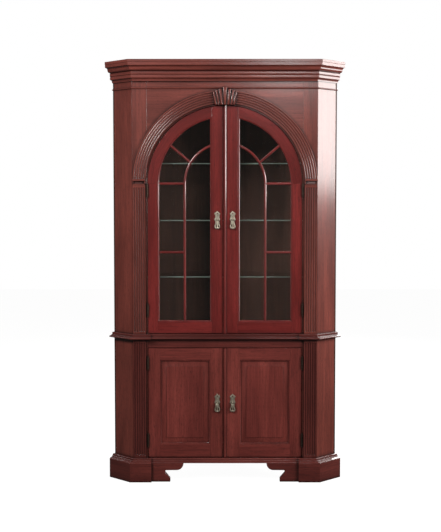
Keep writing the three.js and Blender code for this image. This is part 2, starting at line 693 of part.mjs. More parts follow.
function lowerPanel() {
  const { x0, x1, z0, z1 } = PANEL;
  const lap = GROOVE - FIT;
  const y0 = GROOVE_Y + TOUCH;
  const y1 = GROOVE_Y + TONGUE - TOUCH;
  const m = PANEL_MARGIN;
  const tongue = solid(box(x0 - lap, x1 + lap, y0, y1, z0 - lap, z1 + lap));
  const field = bevelled(x0 + m, x1 - m, z0 + m, z1 - m, PANEL_BEVEL, y0 - PANEL_RAISE, y0 + 1);
  return tongue.add(field);
}

// The half-round bead on the right door's meeting edge.
function astragal(z0, z1) {
  const section = [[-ASTRAGAL_HALF, DOOR_FACE + 1], [ASTRAGAL_HALF, DOOR_FACE + 1]];
  const steps = 6;
  for (let n = 0; n <= steps; n += 1) {
    const angle = (Math.PI * n) / steps;
    section.push([ASTRAGAL_HALF * Math.cos(angle), DOOR_FACE - ASTRAGAL_OUT * Math.sin(angle)]);
  }
  return solid(slab(section.reverse(), z0, z1));
}

function addDoors() {
  const crown = SPRING + Math.sqrt(DOOR_HALF ** 2 - ASTRAGAL_HALF ** 2);
  const bars = shape(muntins());
  const glass = panel(sightOutline(REBATE - FIT), GLASS_Y + TOUCH, GLASS_Y + TOUCH + GLASS);
  const raised = shape(lowerPanel());
  for (const side of Object.keys(SIDES)) {
    const meeting = MEETING_EDGE[side];
    let upper = upperFrame(meeting);
    let lower = lowerFrame(meeting);
    if (side === 'right') {
      upper = upper.add(astragal(UPPER_DOOR_Z, crown));
      lower = lower.add(astragal(...LOWER_DOOR_Z));
    }
    add(`upper_door_frame_${side}`, handed(shape(upper), side), RED_MAHOGANY);
    add(`glazing_bars_${side}`, handed(bars, side), RED_MAHOGANY);
    add(`door_glass_${side}`, handed(glass, side), GLAZING);
    add(`lower_door_frame_${side}`, handed(shape(lower), side), RED_MAHOGANY);
    add(`raised_panel_${side}`, handed(raised, side), RED_MAHOGANY);
  }
}

// ---------------------------------------------------------------- hinges
function barrel(radius, z0, z1, sides = 8) {
  const rod = new THREE.CylinderGeometry(radius, radius, z1 - z0, sides).rotateX(Math.PI / 2);
  return solid(rod.translate(PIVOT.x, PIVOT.y, (z0 + z1) / 2));
}

// One half of a butt hinge: its leaf, its share of the knuckles, and the pin or its bore.
function hingeHalf(middle, onFrame) {
  const foot = middle - HINGE / 2;
  const leafX = onFrame ? OPENING_HALF - TOUCH / 2 - LEAF : DOOR_HALF + TOUCH / 2;
  const tall = HINGE / KNUCKLES;
  const leafY = PIVOT.y + KNUCKLE_RADIUS + LEAF_BACK;
  let made = solid(box(leafX, leafX + LEAF, leafY, leafY + LEAF_DEPTH, foot, foot + HINGE));
  for (let n = 0; n < KNUCKLES; n += 1) {
    if ((n % 2 === 0) !== onFrame) continue;
    const z0 = foot + n * tall + TOUCH / 2;
    const z1 = foot + (n + 1) * tall - TOUCH / 2;
    made = made.add(barrel(KNUCKLE_RADIUS, z0, z1));
    made = made.add(solid(box(leafX, leafX + LEAF, PIVOT.y, leafY + LAP, z0, z1)));
  }
  const reach = 1;
  if (onFrame) return shape(made.add(barrel(PIN_RADIUS, foot - reach, foot + HINGE + reach, 6)));
  return shape(made.subtract(barrel(PIN_RADIUS + PIN_PLAY, foot - reach, foot + HINGE + reach, 6)));
}

function addHinges() {
  const places = {
    upper_door_bottom: UPPER_DOOR_Z + HINGE_FROM_BOTTOM,
    upper_door_top: SPRING - HINGE_BELOW_SPRING,
    lower_door_bottom: LOWER_DOOR_Z[0] + LOWER_HINGE_INSET,
    lower_door_top: LOWER_DOOR_Z[1] - LOWER_HINGE_TOP_INSET,
  };
  for (const [place, middle] of Object.entries(places)) {
    for (const side of Object.keys(SIDES)) {
      add(`hinge_frame_leaf_${place}_${side}`, handed(hingeHalf(middle, true), side), BRASS);
      add(`hinge_door_leaf_${place}_${side}`, handed(hingeHalf(middle, false), side), BRASS);
    }
  }
}

// ---------------------------------------------------------------- pulls
// A symmetrical outline from its right half, which runs from the top point to the bottom point:
// each step is [c1x, c1z, c2x, c2z, x, z], a curve from the last point.
function symmetric(top, steps) {
  const outline = new THREE.Shape();
  outline.moveTo(0, top);
  steps.forEach((step) => outline.bezierCurveTo(...step));
  const starts = [[0, top], ...steps.map((step) => step.slice(4))];
  for (let n = steps.length - 1; n >= 0; n -= 1) {
    const [ax, az, bx, bz] = steps[n];
    outline.bezierCurveTo(-bx, bz, -ax, az, -starts[n][0], starts[n][1]);
  }
  return outline;
}

const PULL_PIN = DOOR_FACE - PLATE - SWIVEL_OUT;

// The back plate: pointed top, waist and flared foot, with two cheeks and a pin, about the pin.
function pullPlate() {
  const outline = symmetric(45, [
    [4, 42, 10, 36, 14.8, 31],
    [12, 27, 10, 20, 10, 15],
    [10, 10, 15, 7, 14, 2],
    [12, -5, 4, -5, 0, -9],
  ]);
  const piercing = new THREE.Path();
  piercing.absarc(0, 32.5, 3.2, 0, 2 * Math.PI, false);
  outline.holes.push(piercing);
  const face = DOOR_FACE - PLATE;
  let made = solid(panel(outline, face, DOOR_FACE, 4));
  const cheek = { x0: EYE / 2 + 0.6, x1: EYE / 2 + 2.4, half: 2.2 };
  for (const hand of [1, -1]) {
    const [x0, x1] = [cheek.x0 * hand, cheek.x1 * hand].sort((a, b) => a - b);
    made = made.add(solid(box(x0, x1, PULL_PIN - cheek.half, face + 0.5, -cheek.half, cheek.half)));
  }
  const rod = new THREE.CylinderGeometry(SWIVEL_RADIUS, SWIVEL_RADIUS, 2 * cheek.x1 - 1, 8);
  return made.add(solid(rod.rotateZ(Math.PI / 2).translate(0, PULL_PIN, 0)));
}

// The drop: an eye on the pin over a pierced tear with a rib down its middle, about the pin.
function pullDrop() {
  const outline = symmetric(-2, [
    [1.5, -2, 2, -4.5, 4, -5],
    [9, -5, 10.5, -8, 9, -14],
    [9, -20, 13.7, -26, 13.7, -34],
    [13.5, -42, 6, -46, 0, -47],
  ]);
  for (const hand of [1, -1]) {
    const slot = new THREE.Path();
    slot.absellipse(5.8 * hand, -30, 2.7, 9, 0, 2 * Math.PI, false, 0);
    outline.holes.push(slot);
  }
  const bore = SWIVEL_RADIUS + SWIVEL_PLAY;
  const eye = new THREE.CylinderGeometry(bore + EYE_WALL, bore + EYE_WALL, EYE, 10);
  const way = new THREE.CylinderGeometry(bore, bore, 2 * EYE, 8);
  for (const part of [eye, way]) part.rotateZ(Math.PI / 2).translate(0, PULL_PIN, 0);
  const tear = panel(outline, PULL_PIN - DROP_THICK / 2, PULL_PIN + DROP_THICK / 2, 4);
  return solid(tear).add(solid(eye)).subtract(solid(way));
}

function addPulls() {
  const levels = { upper: WAIST_TOP + UPPER_PULL, lower: LOWER_DOOR_Z[1] - LOWER_PULL_DROP };
  for (const [level, z] of Object.entries(levels)) {
    for (const [side, hand] of Object.entries(SIDES)) {
      add(`pull_plate_${level}_${side}`, shape(pullPlate()).translate(hand * PULL_X, 0, z), BRASS);
      add(`pull_drop_${level}_${side}`, shape(pullDrop()).translate(hand * PULL_X, 0, z), BRASS);
    }
  }
}

// ---------------------------------------------------------------- assembly
addCase();
addFloorsAndShelves();
addFaceFrame();
addPilasters();
addArch();
addKeystone();
addMouldings();
addDoors();
addHinges();
addPulls();

// The origin is on the floor, in the middle of the cabinet's box.
cabinet.position.y = -(WALL - CORNICE_OUT - CORNICE_PACKING) / 2;
cabinet.updateMatrixWorld(true);

export default cabinet;
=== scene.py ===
"""The looks of a mahogany corner china cabinet: arched glass doors over raised-panel doors, fluted
pilasters, a reeded arch with a fanned keystone, a stepped cornice and a plinth on bracket feet.

Places are millimetres from the middle of the cabinet's face: x to the right, y back into the room
corner, z up from the floor. They become metres in the frame when a piece is finished.
"""

import itertools
import math

import bmesh
import bpy
from mathutils import Euler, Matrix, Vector


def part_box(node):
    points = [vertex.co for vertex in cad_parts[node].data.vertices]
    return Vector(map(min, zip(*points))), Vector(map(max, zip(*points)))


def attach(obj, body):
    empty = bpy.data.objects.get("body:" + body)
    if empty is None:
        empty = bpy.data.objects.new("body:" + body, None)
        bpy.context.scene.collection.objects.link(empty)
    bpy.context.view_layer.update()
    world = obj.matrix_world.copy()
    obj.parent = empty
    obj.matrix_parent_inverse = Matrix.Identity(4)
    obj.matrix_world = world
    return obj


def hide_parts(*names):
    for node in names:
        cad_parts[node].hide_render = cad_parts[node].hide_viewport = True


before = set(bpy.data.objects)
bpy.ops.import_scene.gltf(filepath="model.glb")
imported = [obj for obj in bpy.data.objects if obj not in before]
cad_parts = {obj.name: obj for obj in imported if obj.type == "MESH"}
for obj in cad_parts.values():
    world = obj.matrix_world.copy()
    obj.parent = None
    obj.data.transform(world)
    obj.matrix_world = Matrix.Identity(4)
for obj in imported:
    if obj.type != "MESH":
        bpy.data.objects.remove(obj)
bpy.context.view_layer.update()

# ---------------------------------------------------------------- sizes, in millimetres
MM = 0.001
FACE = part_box("arch_spandrel")[0].y  # the cabinet's face, in metres in the frame
SQRT2 = math.sqrt(2)
HANDS = {"right": 1, "left": -1}


def span(node):
    """Lowest and highest corner of a CAD piece, in millimetres from the face."""
    low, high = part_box(node)
    return (low - Vector((0, FACE, 0))) / MM, (high - Vector((0, FACE, 0))) / MM


AIR = 0.3  # between faces that meet
WALL_AIR = 1  # mouldings stop this far short of the walls
BOARD = 22
BACK = 9
REAR_POST = 40
TOP_SET = 4  # the cornice stands this far above the top board
OPENING = span("arch_spandrel")[1].x + AIR
SPRING_STEP = 30  # the spandrel board's feet end this far above the spring line
SPRING = span("arch_spandrel")[0].z - SPRING_STEP
NEAR = span("stile_right")[1].x + AIR * SQRT2  # near corner of the case
WALL = span("back_right")[1].y + AIR  # the walls meet this far behind the face
RUN = (WALL - NEAR) / 2  # how far a return runs back, and out
TOP = span("cornice")[1].z
CASE_TOP = span("side_right")[1].z
DECK = span("deck")[1].z
FLOOR = span("case_floor")[1].z
SHELF = span("deck")[1].z - span("deck")[0].z

PILASTER = [span("pilaster_lower_right")[0].x, span("pilaster_lower_right")[1].x]
PILASTER_OUT = -span("pilaster_lower_right")[0].y
IMPOST_TOP = span("pilaster_upper_right")[1].z
IMPOST_HEIGHT = 32
ARCH_EDGE = 5.5
FLUTES = 5
FLUTE_MARGIN = 8.4  # from the pilaster's edge to the middle of its first flute
FLUTE_RADIUS = 3.9
FLUTE_DEPTH = 3.4
FLUTE_PITCH = (PILASTER[1] - PILASTER[0] - 2 * FLUTE_MARGIN) / (FLUTES - 1)

WAIST_BOTTOM = span("waist_moulding")[0].z
RAIL = [span("lower_rail")[0].z, span("lower_rail")[1].z]
BREAK_START = PILASTER[0] - 27  # plinth blocks and waist breakfronts start here
CORNICE = {"out": 54, "packing": 6, "height": 104}  # the front stands a packing further out
CORNICE_DRAWN = Vector((49, 100))  # the cornice's profile is drawn this far out and this high
BEAD_OUT = 6.7
WAIST = {"out": 35, "front": 22, "block": 13, "drawn": 30}  # on the returns, on the front, at the blocks
PLINTH = {"out": 37, "front": 23, "block": 14, "drawn": 31}
PLINTH_CAP = 24  # height of the plinth's ogee top

LOBE = {"x": 247, "radius": 35, "down": 1}  # the apron's rounded end, below the apron's line
LOBE_START = 212
NOSE = {"x": 299, "z": 52.5, "radius": 7}  # the bracket foot's nose
ANKLE = {"x": 286, "z": 17, "radius": 6}
FOOT_INNER = 280

DOOR_EDGE = span("lower_door_frame_right")[1].x
DOOR_FACE, DOOR_BACK = 1, 23
UPPER_FOOT = span("upper_door_frame_right")[0].z
LOWER_DOOR = [span("lower_door_frame_right")[0].z, span("lower_door_frame_right")[1].z]
MEETING = {"right": -8.5, "left": 11.5}  # each door's meeting edge, from its own side
SIGHT = {"inner": 75, "outer": DOOR_EDGE - 58.5, "foot": UPPER_FOOT + 65.5}
GLASS_Y = [span("door_glass_right")[0].y, span("door_glass_right")[1].y]
PANE_MARGIN = 6.5  # the pane's edge, behind the sticking
STICKING = 9
FIELD_ROWS = [(26.5, 1.8), (26.5, 3.2), (25, 3.7), (2, 9.3), (-7, 9.3), (-7, 14.7)]  # (inset, y) of a panel
MEETING_BEAD = 8.5  # half the bead's width
PANEL = {"x0": 83, "x1": DOOR_EDGE - 67.5, "z0": LOWER_DOOR[0] + 74, "z1": LOWER_DOOR[1] - 67}
MUNTIN = 6.5  # half the width of a glazing bar
BRACE_ANGLES = (31.4, 34.9)  # of the brace's ends above the spring line, in degrees

HINGE = 63
HINGE_PLACES = ("upper_door_bottom", "upper_door_top", "lower_door_bottom", "lower_door_top")
KNUCKLES = 5
KNUCKLE_RADIUS = 4.5
KNUCKLE_AIR = 0.15
PIVOT = (OPENING - 1.5, -KNUCKLE_RADIUS)
LEAF = 1.2  # thickness of a hinge leaf
LEAF_SET = 0.5  # the leaf stands this far behind the knuckles
LEAF_WIDTH = 17
FINIAL_ROWS = [(3.4, 0), (3.6, 0.5), (2.4, 1.2), (1.6, 1.6), (2.5, 2.4), (2.6, 3.2), (1.9, 4.2), (0.7, 4.8)]
SCREW_PITCH = 22
HINGE_SCREW = {"Head Radius": 3.2, "Head Height": 0.5, "Slot Width": 0.8, "Slot Depth": 0.35}
SHELF_PIN = {"Head Radius": 3, "Head Height": 6.4, "Slot Width": 0.4, "Slot Depth": 0.2}
PIN_DROP = 3.4  # a shelf pin's axis, below its shelf
PIN_REACH = 3  # half a shelf pin's length

PULL_X = 39
PIN_Y = -9  # swivel pin of a pull
PLATE_CREST = 45  # top of a pull's plate, above its swivel pin


# ---------------------------------------------------------------- node helpers
def link(nodes, a, b):
    nodes.id_data.links.new(a, b)


def node(nodes, kind, inputs=None, **settings):
    """A new node with its settings; each input takes a plain value or another node's socket."""
    made = nodes.new(kind)
    for key, value in settings.items():
        setattr(made, key, value)
    for key, value in (inputs or {}).items():
        if isinstance(value, bpy.types.NodeSocket):
            link(nodes, value, made.inputs[key])
        else:
            made.inputs[key].default_value = value
    return made


def scaled(nodes, vector, scale):
    return node(nodes, "ShaderNodeVectorMath", {0: vector, 1: scale}, operation="MULTIPLY").outputs[0]


def noise(nodes, vector, detail=4.0, rough=0.5, distortion=0.0):
    return node(nodes, "ShaderNodeTexNoise", {
        "Vector": vector, "Scale": 1.0, "Detail": detail, "Roughness": rough, "Distortion": distortion,
    }).outputs["Fac"]


def ramp(nodes, value, *stops):
    made = node(nodes, "ShaderNodeValToRGB")
    elements = made.color_ramp.elements
    while len(elements) < len(stops):
        elements.new(0.5)
    for element, (place, colour) in zip(elements, stops):
        element.position = place
        element.color = (*colour, 1) if len(colour) == 3 else colour
    link(nodes, value, made.inputs["Fac"])
    return made.outputs["Color"]


def blended(nodes, kind, share, a, b):
    inputs = {0: share, 6: a, 7: b}  # a mix node's share and its two colours
    return node(nodes, "ShaderNodeMix", inputs, data_type="RGBA", blend_type=kind).outputs[2]


def bumped(nodes, height, strength, distance, socket):
    """Relief in metres from a pattern, into a shader's normal socket."""
    made = node(nodes, "ShaderNodeBump", {"Strength": strength, "Distance": distance, "Height": height})
    link(nodes, made.outputs["Normal"], socket)


def hollows(nodes, distance, *stops):
    """Tones by how deep in a hollow a point lies."""
    made = node(nodes, "ShaderNodeAmbientOcclusion", {"Distance": distance}, samples=6)
    return ramp(nodes, made.outputs["AO"], *stops)


def grey(value):
    return (value, value, value)


def new_material(name):
    made = bpy.data.materials.new(name)
    made.use_nodes = True
    nodes = made.node_tree.nodes
    return made, nodes, nodes["Principled BSDF"]


# ---------------------------------------------------------------- finishes
QUIRK_SHADE_AND_GLAZE = 0.1  # tone of the painted shade in a quirk, partly the old glaze that gathers there


def mahogany(name, dark, light, streak, roughness, coat, coat_roughness):
    """Straight-grained mahogany: ribbon figure, fine fibre and short pores along each board's own
    grain, painted shade darkening the quirks and hollows (partly a dark glaze gathered there), all under
    lacquer."""
    made, nodes, shader = new_material(name)
    grain = node(nodes, "ShaderNodeAttribute", attribute_name="grain").outputs["Vector"]
    ribbon = noise(nodes, scaled(nodes, grain, (1.1, 16, 16)), detail=3, distortion=0.7)
    fibre = noise(nodes, scaled(nodes, grain, (7, 230, 230)), detail=5, rough=0.65)
    cloud = noise(nodes, scaled(nodes, grain, (2.5, 5, 5)), detail=2)
    pores = noise(nodes, scaled(nodes, grain, (45, 1100, 1100)), detail=2)
    colour = ramp(nodes, ribbon, (0.3, dark), (0.7, light))
    streaks = ramp(nodes, fibre, (0.3, grey(0.62)), (0.55, grey(1.0)), (0.8, grey(1.18)))
    colour = blended(nodes, "MULTIPLY", 1.0, colour, streaks)
    mottle = ramp(nodes, cloud, (0.3, grey(0.8)), (0.7, grey(1.15)))
    colour = blended(nodes, "MULTIPLY", 1.0, colour, mottle)
    dashes = ramp(nodes, pores, (0.3, grey(1)), (0.42, grey(0)))
    colour = blended(nodes, "MIX", dashes, colour, (*streak, 1))
    # painted shade: the deeper a point lies in a hollow, the darker its colour, partly standing for glaze
    # gathered there
    painted_hollow_shade = hollows(nodes, 0.02, (0.42, grey(QUIRK_SHADE_AND_GLAZE)), (0.93, grey(1)))
    colour = blended(nodes, "MULTIPLY", 1.0, colour, painted_hollow_shade)
    link(nodes, colour, shader.inputs["Base Color"])
    sheen = ramp(nodes, cloud, (0.2, grey(roughness - 0.05)), (0.8, grey(roughness + 0.07)))
    link(nodes, sheen, shader.inputs["Roughness"])
    bumped(nodes, fibre, 0.25, 0.0002, shader.inputs["Normal"])
    bumped(nodes, ribbon, 0.35, 0.0006, shader.inputs["Coat Normal"])
    shader.inputs["Specular IOR Level"].default_value = 0.15
    shader.inputs["Coat Weight"].default_value = coat
    shader.inputs["Coat Roughness"].default_value = coat_roughness
    return made


def clear_glass():
    """Polished sheet glass with a trace of dust and old wiping marks."""
    made, nodes, shader = new_material("clear_glass")
    place = node(nodes, "ShaderNodeTexCoord").outputs["Object"]
    wiped = noise(nodes, scaled(nodes, place, (9, 9, 3)), detail=5, distortion=1.2)
    link(nodes, ramp(nodes, wiped, (0.35, grey(0.0)), (0.8, grey(0.04))), shader.inputs["Roughness"])
    tint = ramp(nodes, wiped, (0.3, (0.93, 0.97, 0.95)), (0.8, (0.86, 0.91, 0.88)))
    link(nodes, tint, shader.inputs["Base Color"])
    shader.inputs["Transmission Weight"].default_value = 1
    shader.inputs["IOR"].default_value = 1.5
    return made


def ground_edge():
    """The ground front edge of a glass shelf: grey-green and slightly frosted."""
    made, nodes, shader = new_material("ground_edge")
    place = node(nodes, "ShaderNodeTexCoord").outputs["Object"]
    frost = noise(nodes, scaled(nodes, place, (40, 300, 300)), detail=3)
    tint = ramp(nodes, frost, (0.3, (0.035, 0.045, 0.038)), (0.7, (0.07, 0.09, 0.078)))
    link(nodes, tint, shader.inputs["Base Color"])
    shader.inputs["Roughness"].default_value = 0.3
    return made


def old_metal(name, bright, dull, dark, roughness):
    """Cast metal that has dulled unevenly, with brown tarnish left in its hollows."""
    made, nodes, shader = new_material(name)
    place = node(nodes, "ShaderNodeTexCoord").outputs["Object"]
    patch = noise(nodes, scaled(nodes, place, grey(110)), detail=5, rough=0.6)
    pits = noise(nodes, scaled(nodes, place, grey(900)), detail=3)
    colour = ramp(nodes, patch, (0.35, dull), (0.65, bright))
    tarnish = hollows(nodes, 0.003, (0.3, grey(1)), (0.9, grey(0)))
    colour = blended(nodes, "MIX", tarnish, colour, (*dark, 1))
    link(nodes, colour, shader.inputs["Base Color"])
    worn = ramp(nodes, patch, (0.3, grey(roughness + 0.12)), (0.7, grey(roughness)))
    link(nodes, worn, shader.inputs["Roughness"])
    bumped(nodes, pits, 0.3, 0.0002, shader.inputs["Normal"])
    shader.inputs["Metallic"].default_value = 1
    return made


FINISHES = {
    "case": mahogany(
        "case_mahogany", dark=(0.078, 0.0155, 0.011), light=(0.138, 0.030, 0.0215),
        streak=(0.024, 0.006, 0.005), roughness=0.42, coat=1.0, coat_roughness=0.2),
    "door": mahogany(
        "door_mahogany", dark=(0.078, 0.0070, 0.0062), light=(0.128, 0.0128, 0.0112),
        streak=(0.022, 0.003, 0.003), roughness=0.4, coat=1.0, coat_roughness=0.13),
    # the lower case's mahogany: the case mahogany made darker, as painted shade towards the bottom
    "low": mahogany(
        "low_mahogany", dark=(0.058, 0.0095, 0.0075), light=(0.090, 0.0170, 0.0130),
        streak=(0.018, 0.004, 0.004), roughness=0.42, coat=1.0, coat_roughness=0.17),
    "door_low": mahogany(
        "low_door_mahogany", dark=(0.080, 0.0125, 0.010), light=(0.132, 0.0245, 0.019),
        streak=(0.024, 0.005, 0.004), roughness=0.42, coat=1.0, coat_roughness=0.15),
    # the inside: a dark stain, made darker still as painted shade for the inside of the shut cabinet
    "inside": mahogany(
        "inside_stain", dark=(0.024, 0.010, 0.007), light=(0.044, 0.019, 0.013),
        streak=(0.010, 0.005, 0.004), roughness=0.75, coat=0.0, coat_roughness=0.4),
    "glass": clear_glass(),
    "edge": ground_edge(),
    "brass": old_metal(
        "pull_brass", bright=(0.5, 0.45, 0.36), dull=(0.30, 0.26, 0.20),
        dark=(0.06, 0.045, 0.03), roughness=0.36),
    "bronze": old_metal(
        "hinge_bronze", bright=(0.05, 0.034, 0.026), dull=(0.025, 0.018, 0.014), dark=(0.01, 0.008, 0.006),
        roughness=0.5),
}
board_numbers = itertools.count(1)


# ---------------------------------------------------------------- finishing a piece
def new_object(name, data):
    """A new object in the scene, at the origin."""
    made = bpy.data.objects.new(name, data)
    bpy.context.scene.collection.objects.link(made)
    return made


def straight_grain(along):
    """Grain that runs along a direction: a point's place along, across and through the board."""
    along = Vector(along).normalized()
    side = Vector((0, 0, 1)) if abs(along.z) < 0.5 else Vector((1, 0, 0))
    across = along.cross(side).normalized()
    through = along.cross(across)
    return lambda p: Vector((along.dot(p), across.dot(p), through.dot(p)))


def arched_grain(middle):
    """Grain of a rail sawn in lengths that follow the arch, about the spring line's middle."""
    def place(p):
        x, z = p.x, p.z - middle
        return Vector((math.hypot(x, z) * math.atan2(z, x) * 0.9, p.y, math.hypot(x, z)))
    return place


UPRIGHT = straight_grain((0, 0, 1))
LEVEL = straight_grain((1, 0, 0))


def set_grain(mesh, grain):
    """Writes each vertex's place in its own board's grain, so that no two boards match."""
    shift = next(board_numbers) * Vector((1.37, 0.731, 0.419))
    written = mesh.attributes.new("grain", "FLOAT_VECTOR", "POINT")
    flat = []
    for vertex in mesh.vertices:
        flat.extend(grain(vertex.co) + shift)
    written.data.foreach_set("vector", flat)


def finish(name, mesh, body, nodes, finish_name, grain=UPRIGHT, ease=0.0, smooth=35):
    """A finished piece from a mesh in metres: its grain, finish, eased edges and its body."""
    mesh.name = name
    set_grain(mesh, grain)
    mesh.materials.clear()
    mesh.materials.append(FINISHES[finish_name])
    mesh.shade_smooth()
    mesh.set_sharp_from_angle(angle=math.radians(smooth))
    made = new_object(name, mesh)
    if ease:
        bevel = made.modifiers.new("eased", "BEVEL")
        bevel.width = ease * MM
        bevel.segments = 2
        bevel.limit_method = "ANGLE"
        bevel.angle_limit = math.radians(40)
        bevel.harden_normals = True
    if finish_name == "glass":
        made.visible_shadow = False
    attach(made, body)
    if nodes:
        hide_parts(*nodes)
    return made


def in_frame(point):
    return (point[0] * MM, point[1] * MM + FACE, point[2] * MM)


def in_metres(point):
    return (point[0] * MM, point[1] * MM, point[2] * MM)


def turned_outward(work, mesh):
    """Writes the worked shape to its mesh with every face outward."""
    bmesh.ops.recalc_face_normals(work, faces=work.faces)
    work.to_mesh(mesh)
    work.free()
    return mesh


def mesh_of(points, faces, hand=1, place=in_frame):
    """A closed mesh in metres from points in millimetres; hand -1 makes the left-hand piece."""
    work = bmesh.new()
    made = [work.verts.new(place((p[0] * hand, p[1], p[2]))) for p in points]
    for face in faces:
        work.faces.new([made[i] for i in face])
    return turned_outward(work, bpy.data.meshes.new("piece"))


def skin(loops, closed=False):
    """Points and faces of a body through loops of points, capped unless the path is closed."""
    size = len(loops[0])
    points = [p for loop in loops for p in loop]
    faces = []
    pairs = list(zip(range(len(loops)), range(1, len(loops))))
    if closed:
        pairs.append((len(loops) - 1, 0))
    for a, b in pairs:
        for i in range(size):
            j = (i + 1) % size
            faces.append((a * size + i, a * size + j, b * size + j, b * size + i))
    if not closed:
        faces.append(tuple(range(size)))
        faces.append(tuple((len(loops) - 1) * size + i for i in range(size)))
    return points, faces


def joined(*bodies):
    points, faces = [], []
    for body_points, body_faces in bodies:
        start = len(points)
        points += body_points
        faces += [tuple(start + i for i in face) for face in body_faces]
    return points, faces


def rectangle(x0, x1, v0, v1):
    return [(x0, v0), (x1, v0), (x1, v1), (x0, v1)]


def slab(plan, z0, z1):
    """A board drawn in plan."""
    return skin([[(x, y, z0) for x, y in plan], [(x, y, z1) for x, y in plan]])


def panel(elevation, y0, y1):
    """A board drawn in elevation."""
    return skin([[(x, y0, z) for x, z in elevation], [(x, y1, z) for x, z in elevation]])


def block(x0, x1, y0, y1, z0, z1):
    return slab(rectangle(x0, x1, y0, y1), z0, z1)


def full_turn(sides):
    return [2 * math.pi * n / sides for n in range(sides)]


def turned(cx, cy, cz, rows, axis, sides=20):
    """A turned part along an axis: rows of (radius, place along it)."""
    loops = []
    for r, along in rows:
        ring = []
        for a in full_turn(sides):
            u, v = r * math.cos(a), r * math.sin(a)
            offset = {"x": (along, u, v), "y": (u, along, v), "z": (u, v, along)}[axis]
            ring.append((cx + offset[0], cy + offset[1], cz + offset[2]))
        loops.append(ring)
    return skin(loops)


def arc(radius, start, end, steps, middle=(0, None)):
    """Points of an arc about the spring line's middle, or another middle; angles in degrees."""
    cx, cz = middle[0], SPRING if middle[1] is None else middle[1]
    turns = [math.radians(start + (end - start) * n / steps) for n in range(steps + 1)]
    return [(cx + radius * math.cos(a), cz + radius * math.sin(a)) for a in turns]


def profile(start, *runs, steps=6):
    """An outline: straight runs (u, v), and quarter curves that leave along u or along v."""
    points = [start]
    for run in runs:
        if len(run) == 2:
            points.append(run)
            continue
        way, u, v = run
        u0, v0 = points[-1]
        for n in range(1, steps + 1):
            turn = math.pi / 2 * n / steps
            slow, quick = 1 - math.cos(turn), math.sin(turn)
            share = (quick, slow) if way == "u" else (slow, quick)
            points.append((u0 + (u - u0) * share[0], v0 + (v - v0) * share[1]))
    return points


# ---------------------------------------------------------------- plan of the case
def near_corner(front, side):
    return NEAR + SQRT2 * side - front, -front


def on_return(side, off_wall):
    return (NEAR + RUN + (side - off_wall) / SQRT2, RUN - (side + off_wall) / SQRT2)


def mirrored_plan(points):
    return points + [(-x, y) for x, y in reversed(points)]


def inside_plan(front, play):
    """The right half of a shelf's outline, from its front edge to the corner post."""
    inset = BOARD + play
    rear = WALL - SQRT2 * (BACK + play) - REAR_POST / SQRT2 - play
    meets = NEAR - SQRT2 * inset + front
    return [(meets, front), on_return(-inset, BACK + play), (WALL - SQRT2 * (BACK + play) - rear, rear)]


# ---------------------------------------------------------------- case
def make_case():
    mitre = AIR * SQRT2
    inner = near_corner(-BOARD, -BOARD)
    side = [(NEAR, 0), on_return(0, BACK + AIR), on_return(-BOARD, BACK + AIR), inner]
    stile = [(OPENING, 0), (NEAR - mitre, 0), (inner[0] - mitre, inner[1]), (OPENING, inner[1])]
    back = [on_return(0, 0), (AIR, WALL - AIR), (AIR, WALL - AIR - SQRT2 * BACK), on_return(0, BACK)]
    back_foot = span("back_right")[0].z
    for name, hand in HANDS.items():
        boards = (
            ("side_board", side, 0, "side", "case", 1.0),
            ("face_stile", stile, 0, "stile", "case", 1.0),
            ("back_board", back, back_foot, "back", "inside", 0.5),
        )
        for piece, plan, foot, cad, wood, ease in boards:
            mesh = mesh_of(*slab(plan, foot, CASE_TOP), hand)
            finish(f"{piece}_{name}", mesh, "case", [f"{cad}_{name}"], wood, ease=ease)
    corner = WALL - SQRT2 * (BACK + AIR)
    reach = REAR_POST / SQRT2
    post = [(0, corner), (-reach, corner - reach), (reach, corner - reach)]
    finish("corner_post", mesh_of(*slab(post, 0, CASE_TOP)), "case", ["rear_post"], "inside", ease=1.0)
    wall_end = on_return(0, 0)
    lid = [(NEAR, 0), wall_end, (0, WALL), (-wall_end[0], wall_end[1]), (-NEAR, 0)]
    top_board = mesh_of(*slab(lid, CASE_TOP, TOP - TOP_SET))
    finish("top_board", top_board, "case", ["case_top"], "inside", LEVEL, ease=0.8)


def notched_plan():
    """The outline of a floor that is notched round the two stiles."""
    behind = BOARD + AIR
    return mirrored_plan([(OPENING - AIR, 0), (OPENING - AIR, behind)] + inside_plan(behind, AIR))


def make_floors():
    for name, cad, top in (("deck_board", "deck", DECK), ("bottom_board", "case_floor", FLOOR)):
        finish(name, mesh_of(*slab(notched_plan(), top - SHELF, top)), "case", [cad], "low", LEVEL, ease=0.8)
    shelf_front, shelf_play = 62, 2
    plan = mirrored_plan(inside_plan(shelf_front, shelf_play))
    low, high = span("cupboard_shelf")
    wooden = mesh_of(*slab(plan, low.z, high.z))
    finish("wooden_shelf", wooden, "case", ["cupboard_shelf"], "inside", LEVEL, ease=0.8)
    for n in range(1, 4):
        low, high = span(f"glass_shelf_{n}")
        mesh = mesh_of(*slab(plan, low.z, high.z))
        glass = finish(f"shelf_glass_{n}", mesh, "case", [f"glass_shelf_{n}"], "glass", ease=0.8)
        glass.data.materials.append(FINISHES["edge"])
        for face in glass.data.polygons:
            if face.normal.y < -0.9:
                face.material_index = 1


def make_face_frame():
    tip = math.degrees(math.asin(SPRING_STEP / OPENING))
    edge, foot = OPENING - AIR, SPRING + SPRING_STEP
    elevation = [(edge, CASE_TOP), (-edge, CASE_TOP), (-edge, foot)]
    elevation += arc(OPENING, 180 - tip, tip, 64) + [(edge, foot)]
    spandrel = mesh_of(*panel(elevation, 0, BOARD))
    finish("spandrel_board", spandrel, "case", ["arch_spandrel"], "case", LEVEL, ease=0.7)
    rail = block(-edge, edge, 0, BOARD, *RAIL)
    finish("waist_rail", mesh_of(*rail), "case", ["lower_rail"], "low", LEVEL, ease=0.7)


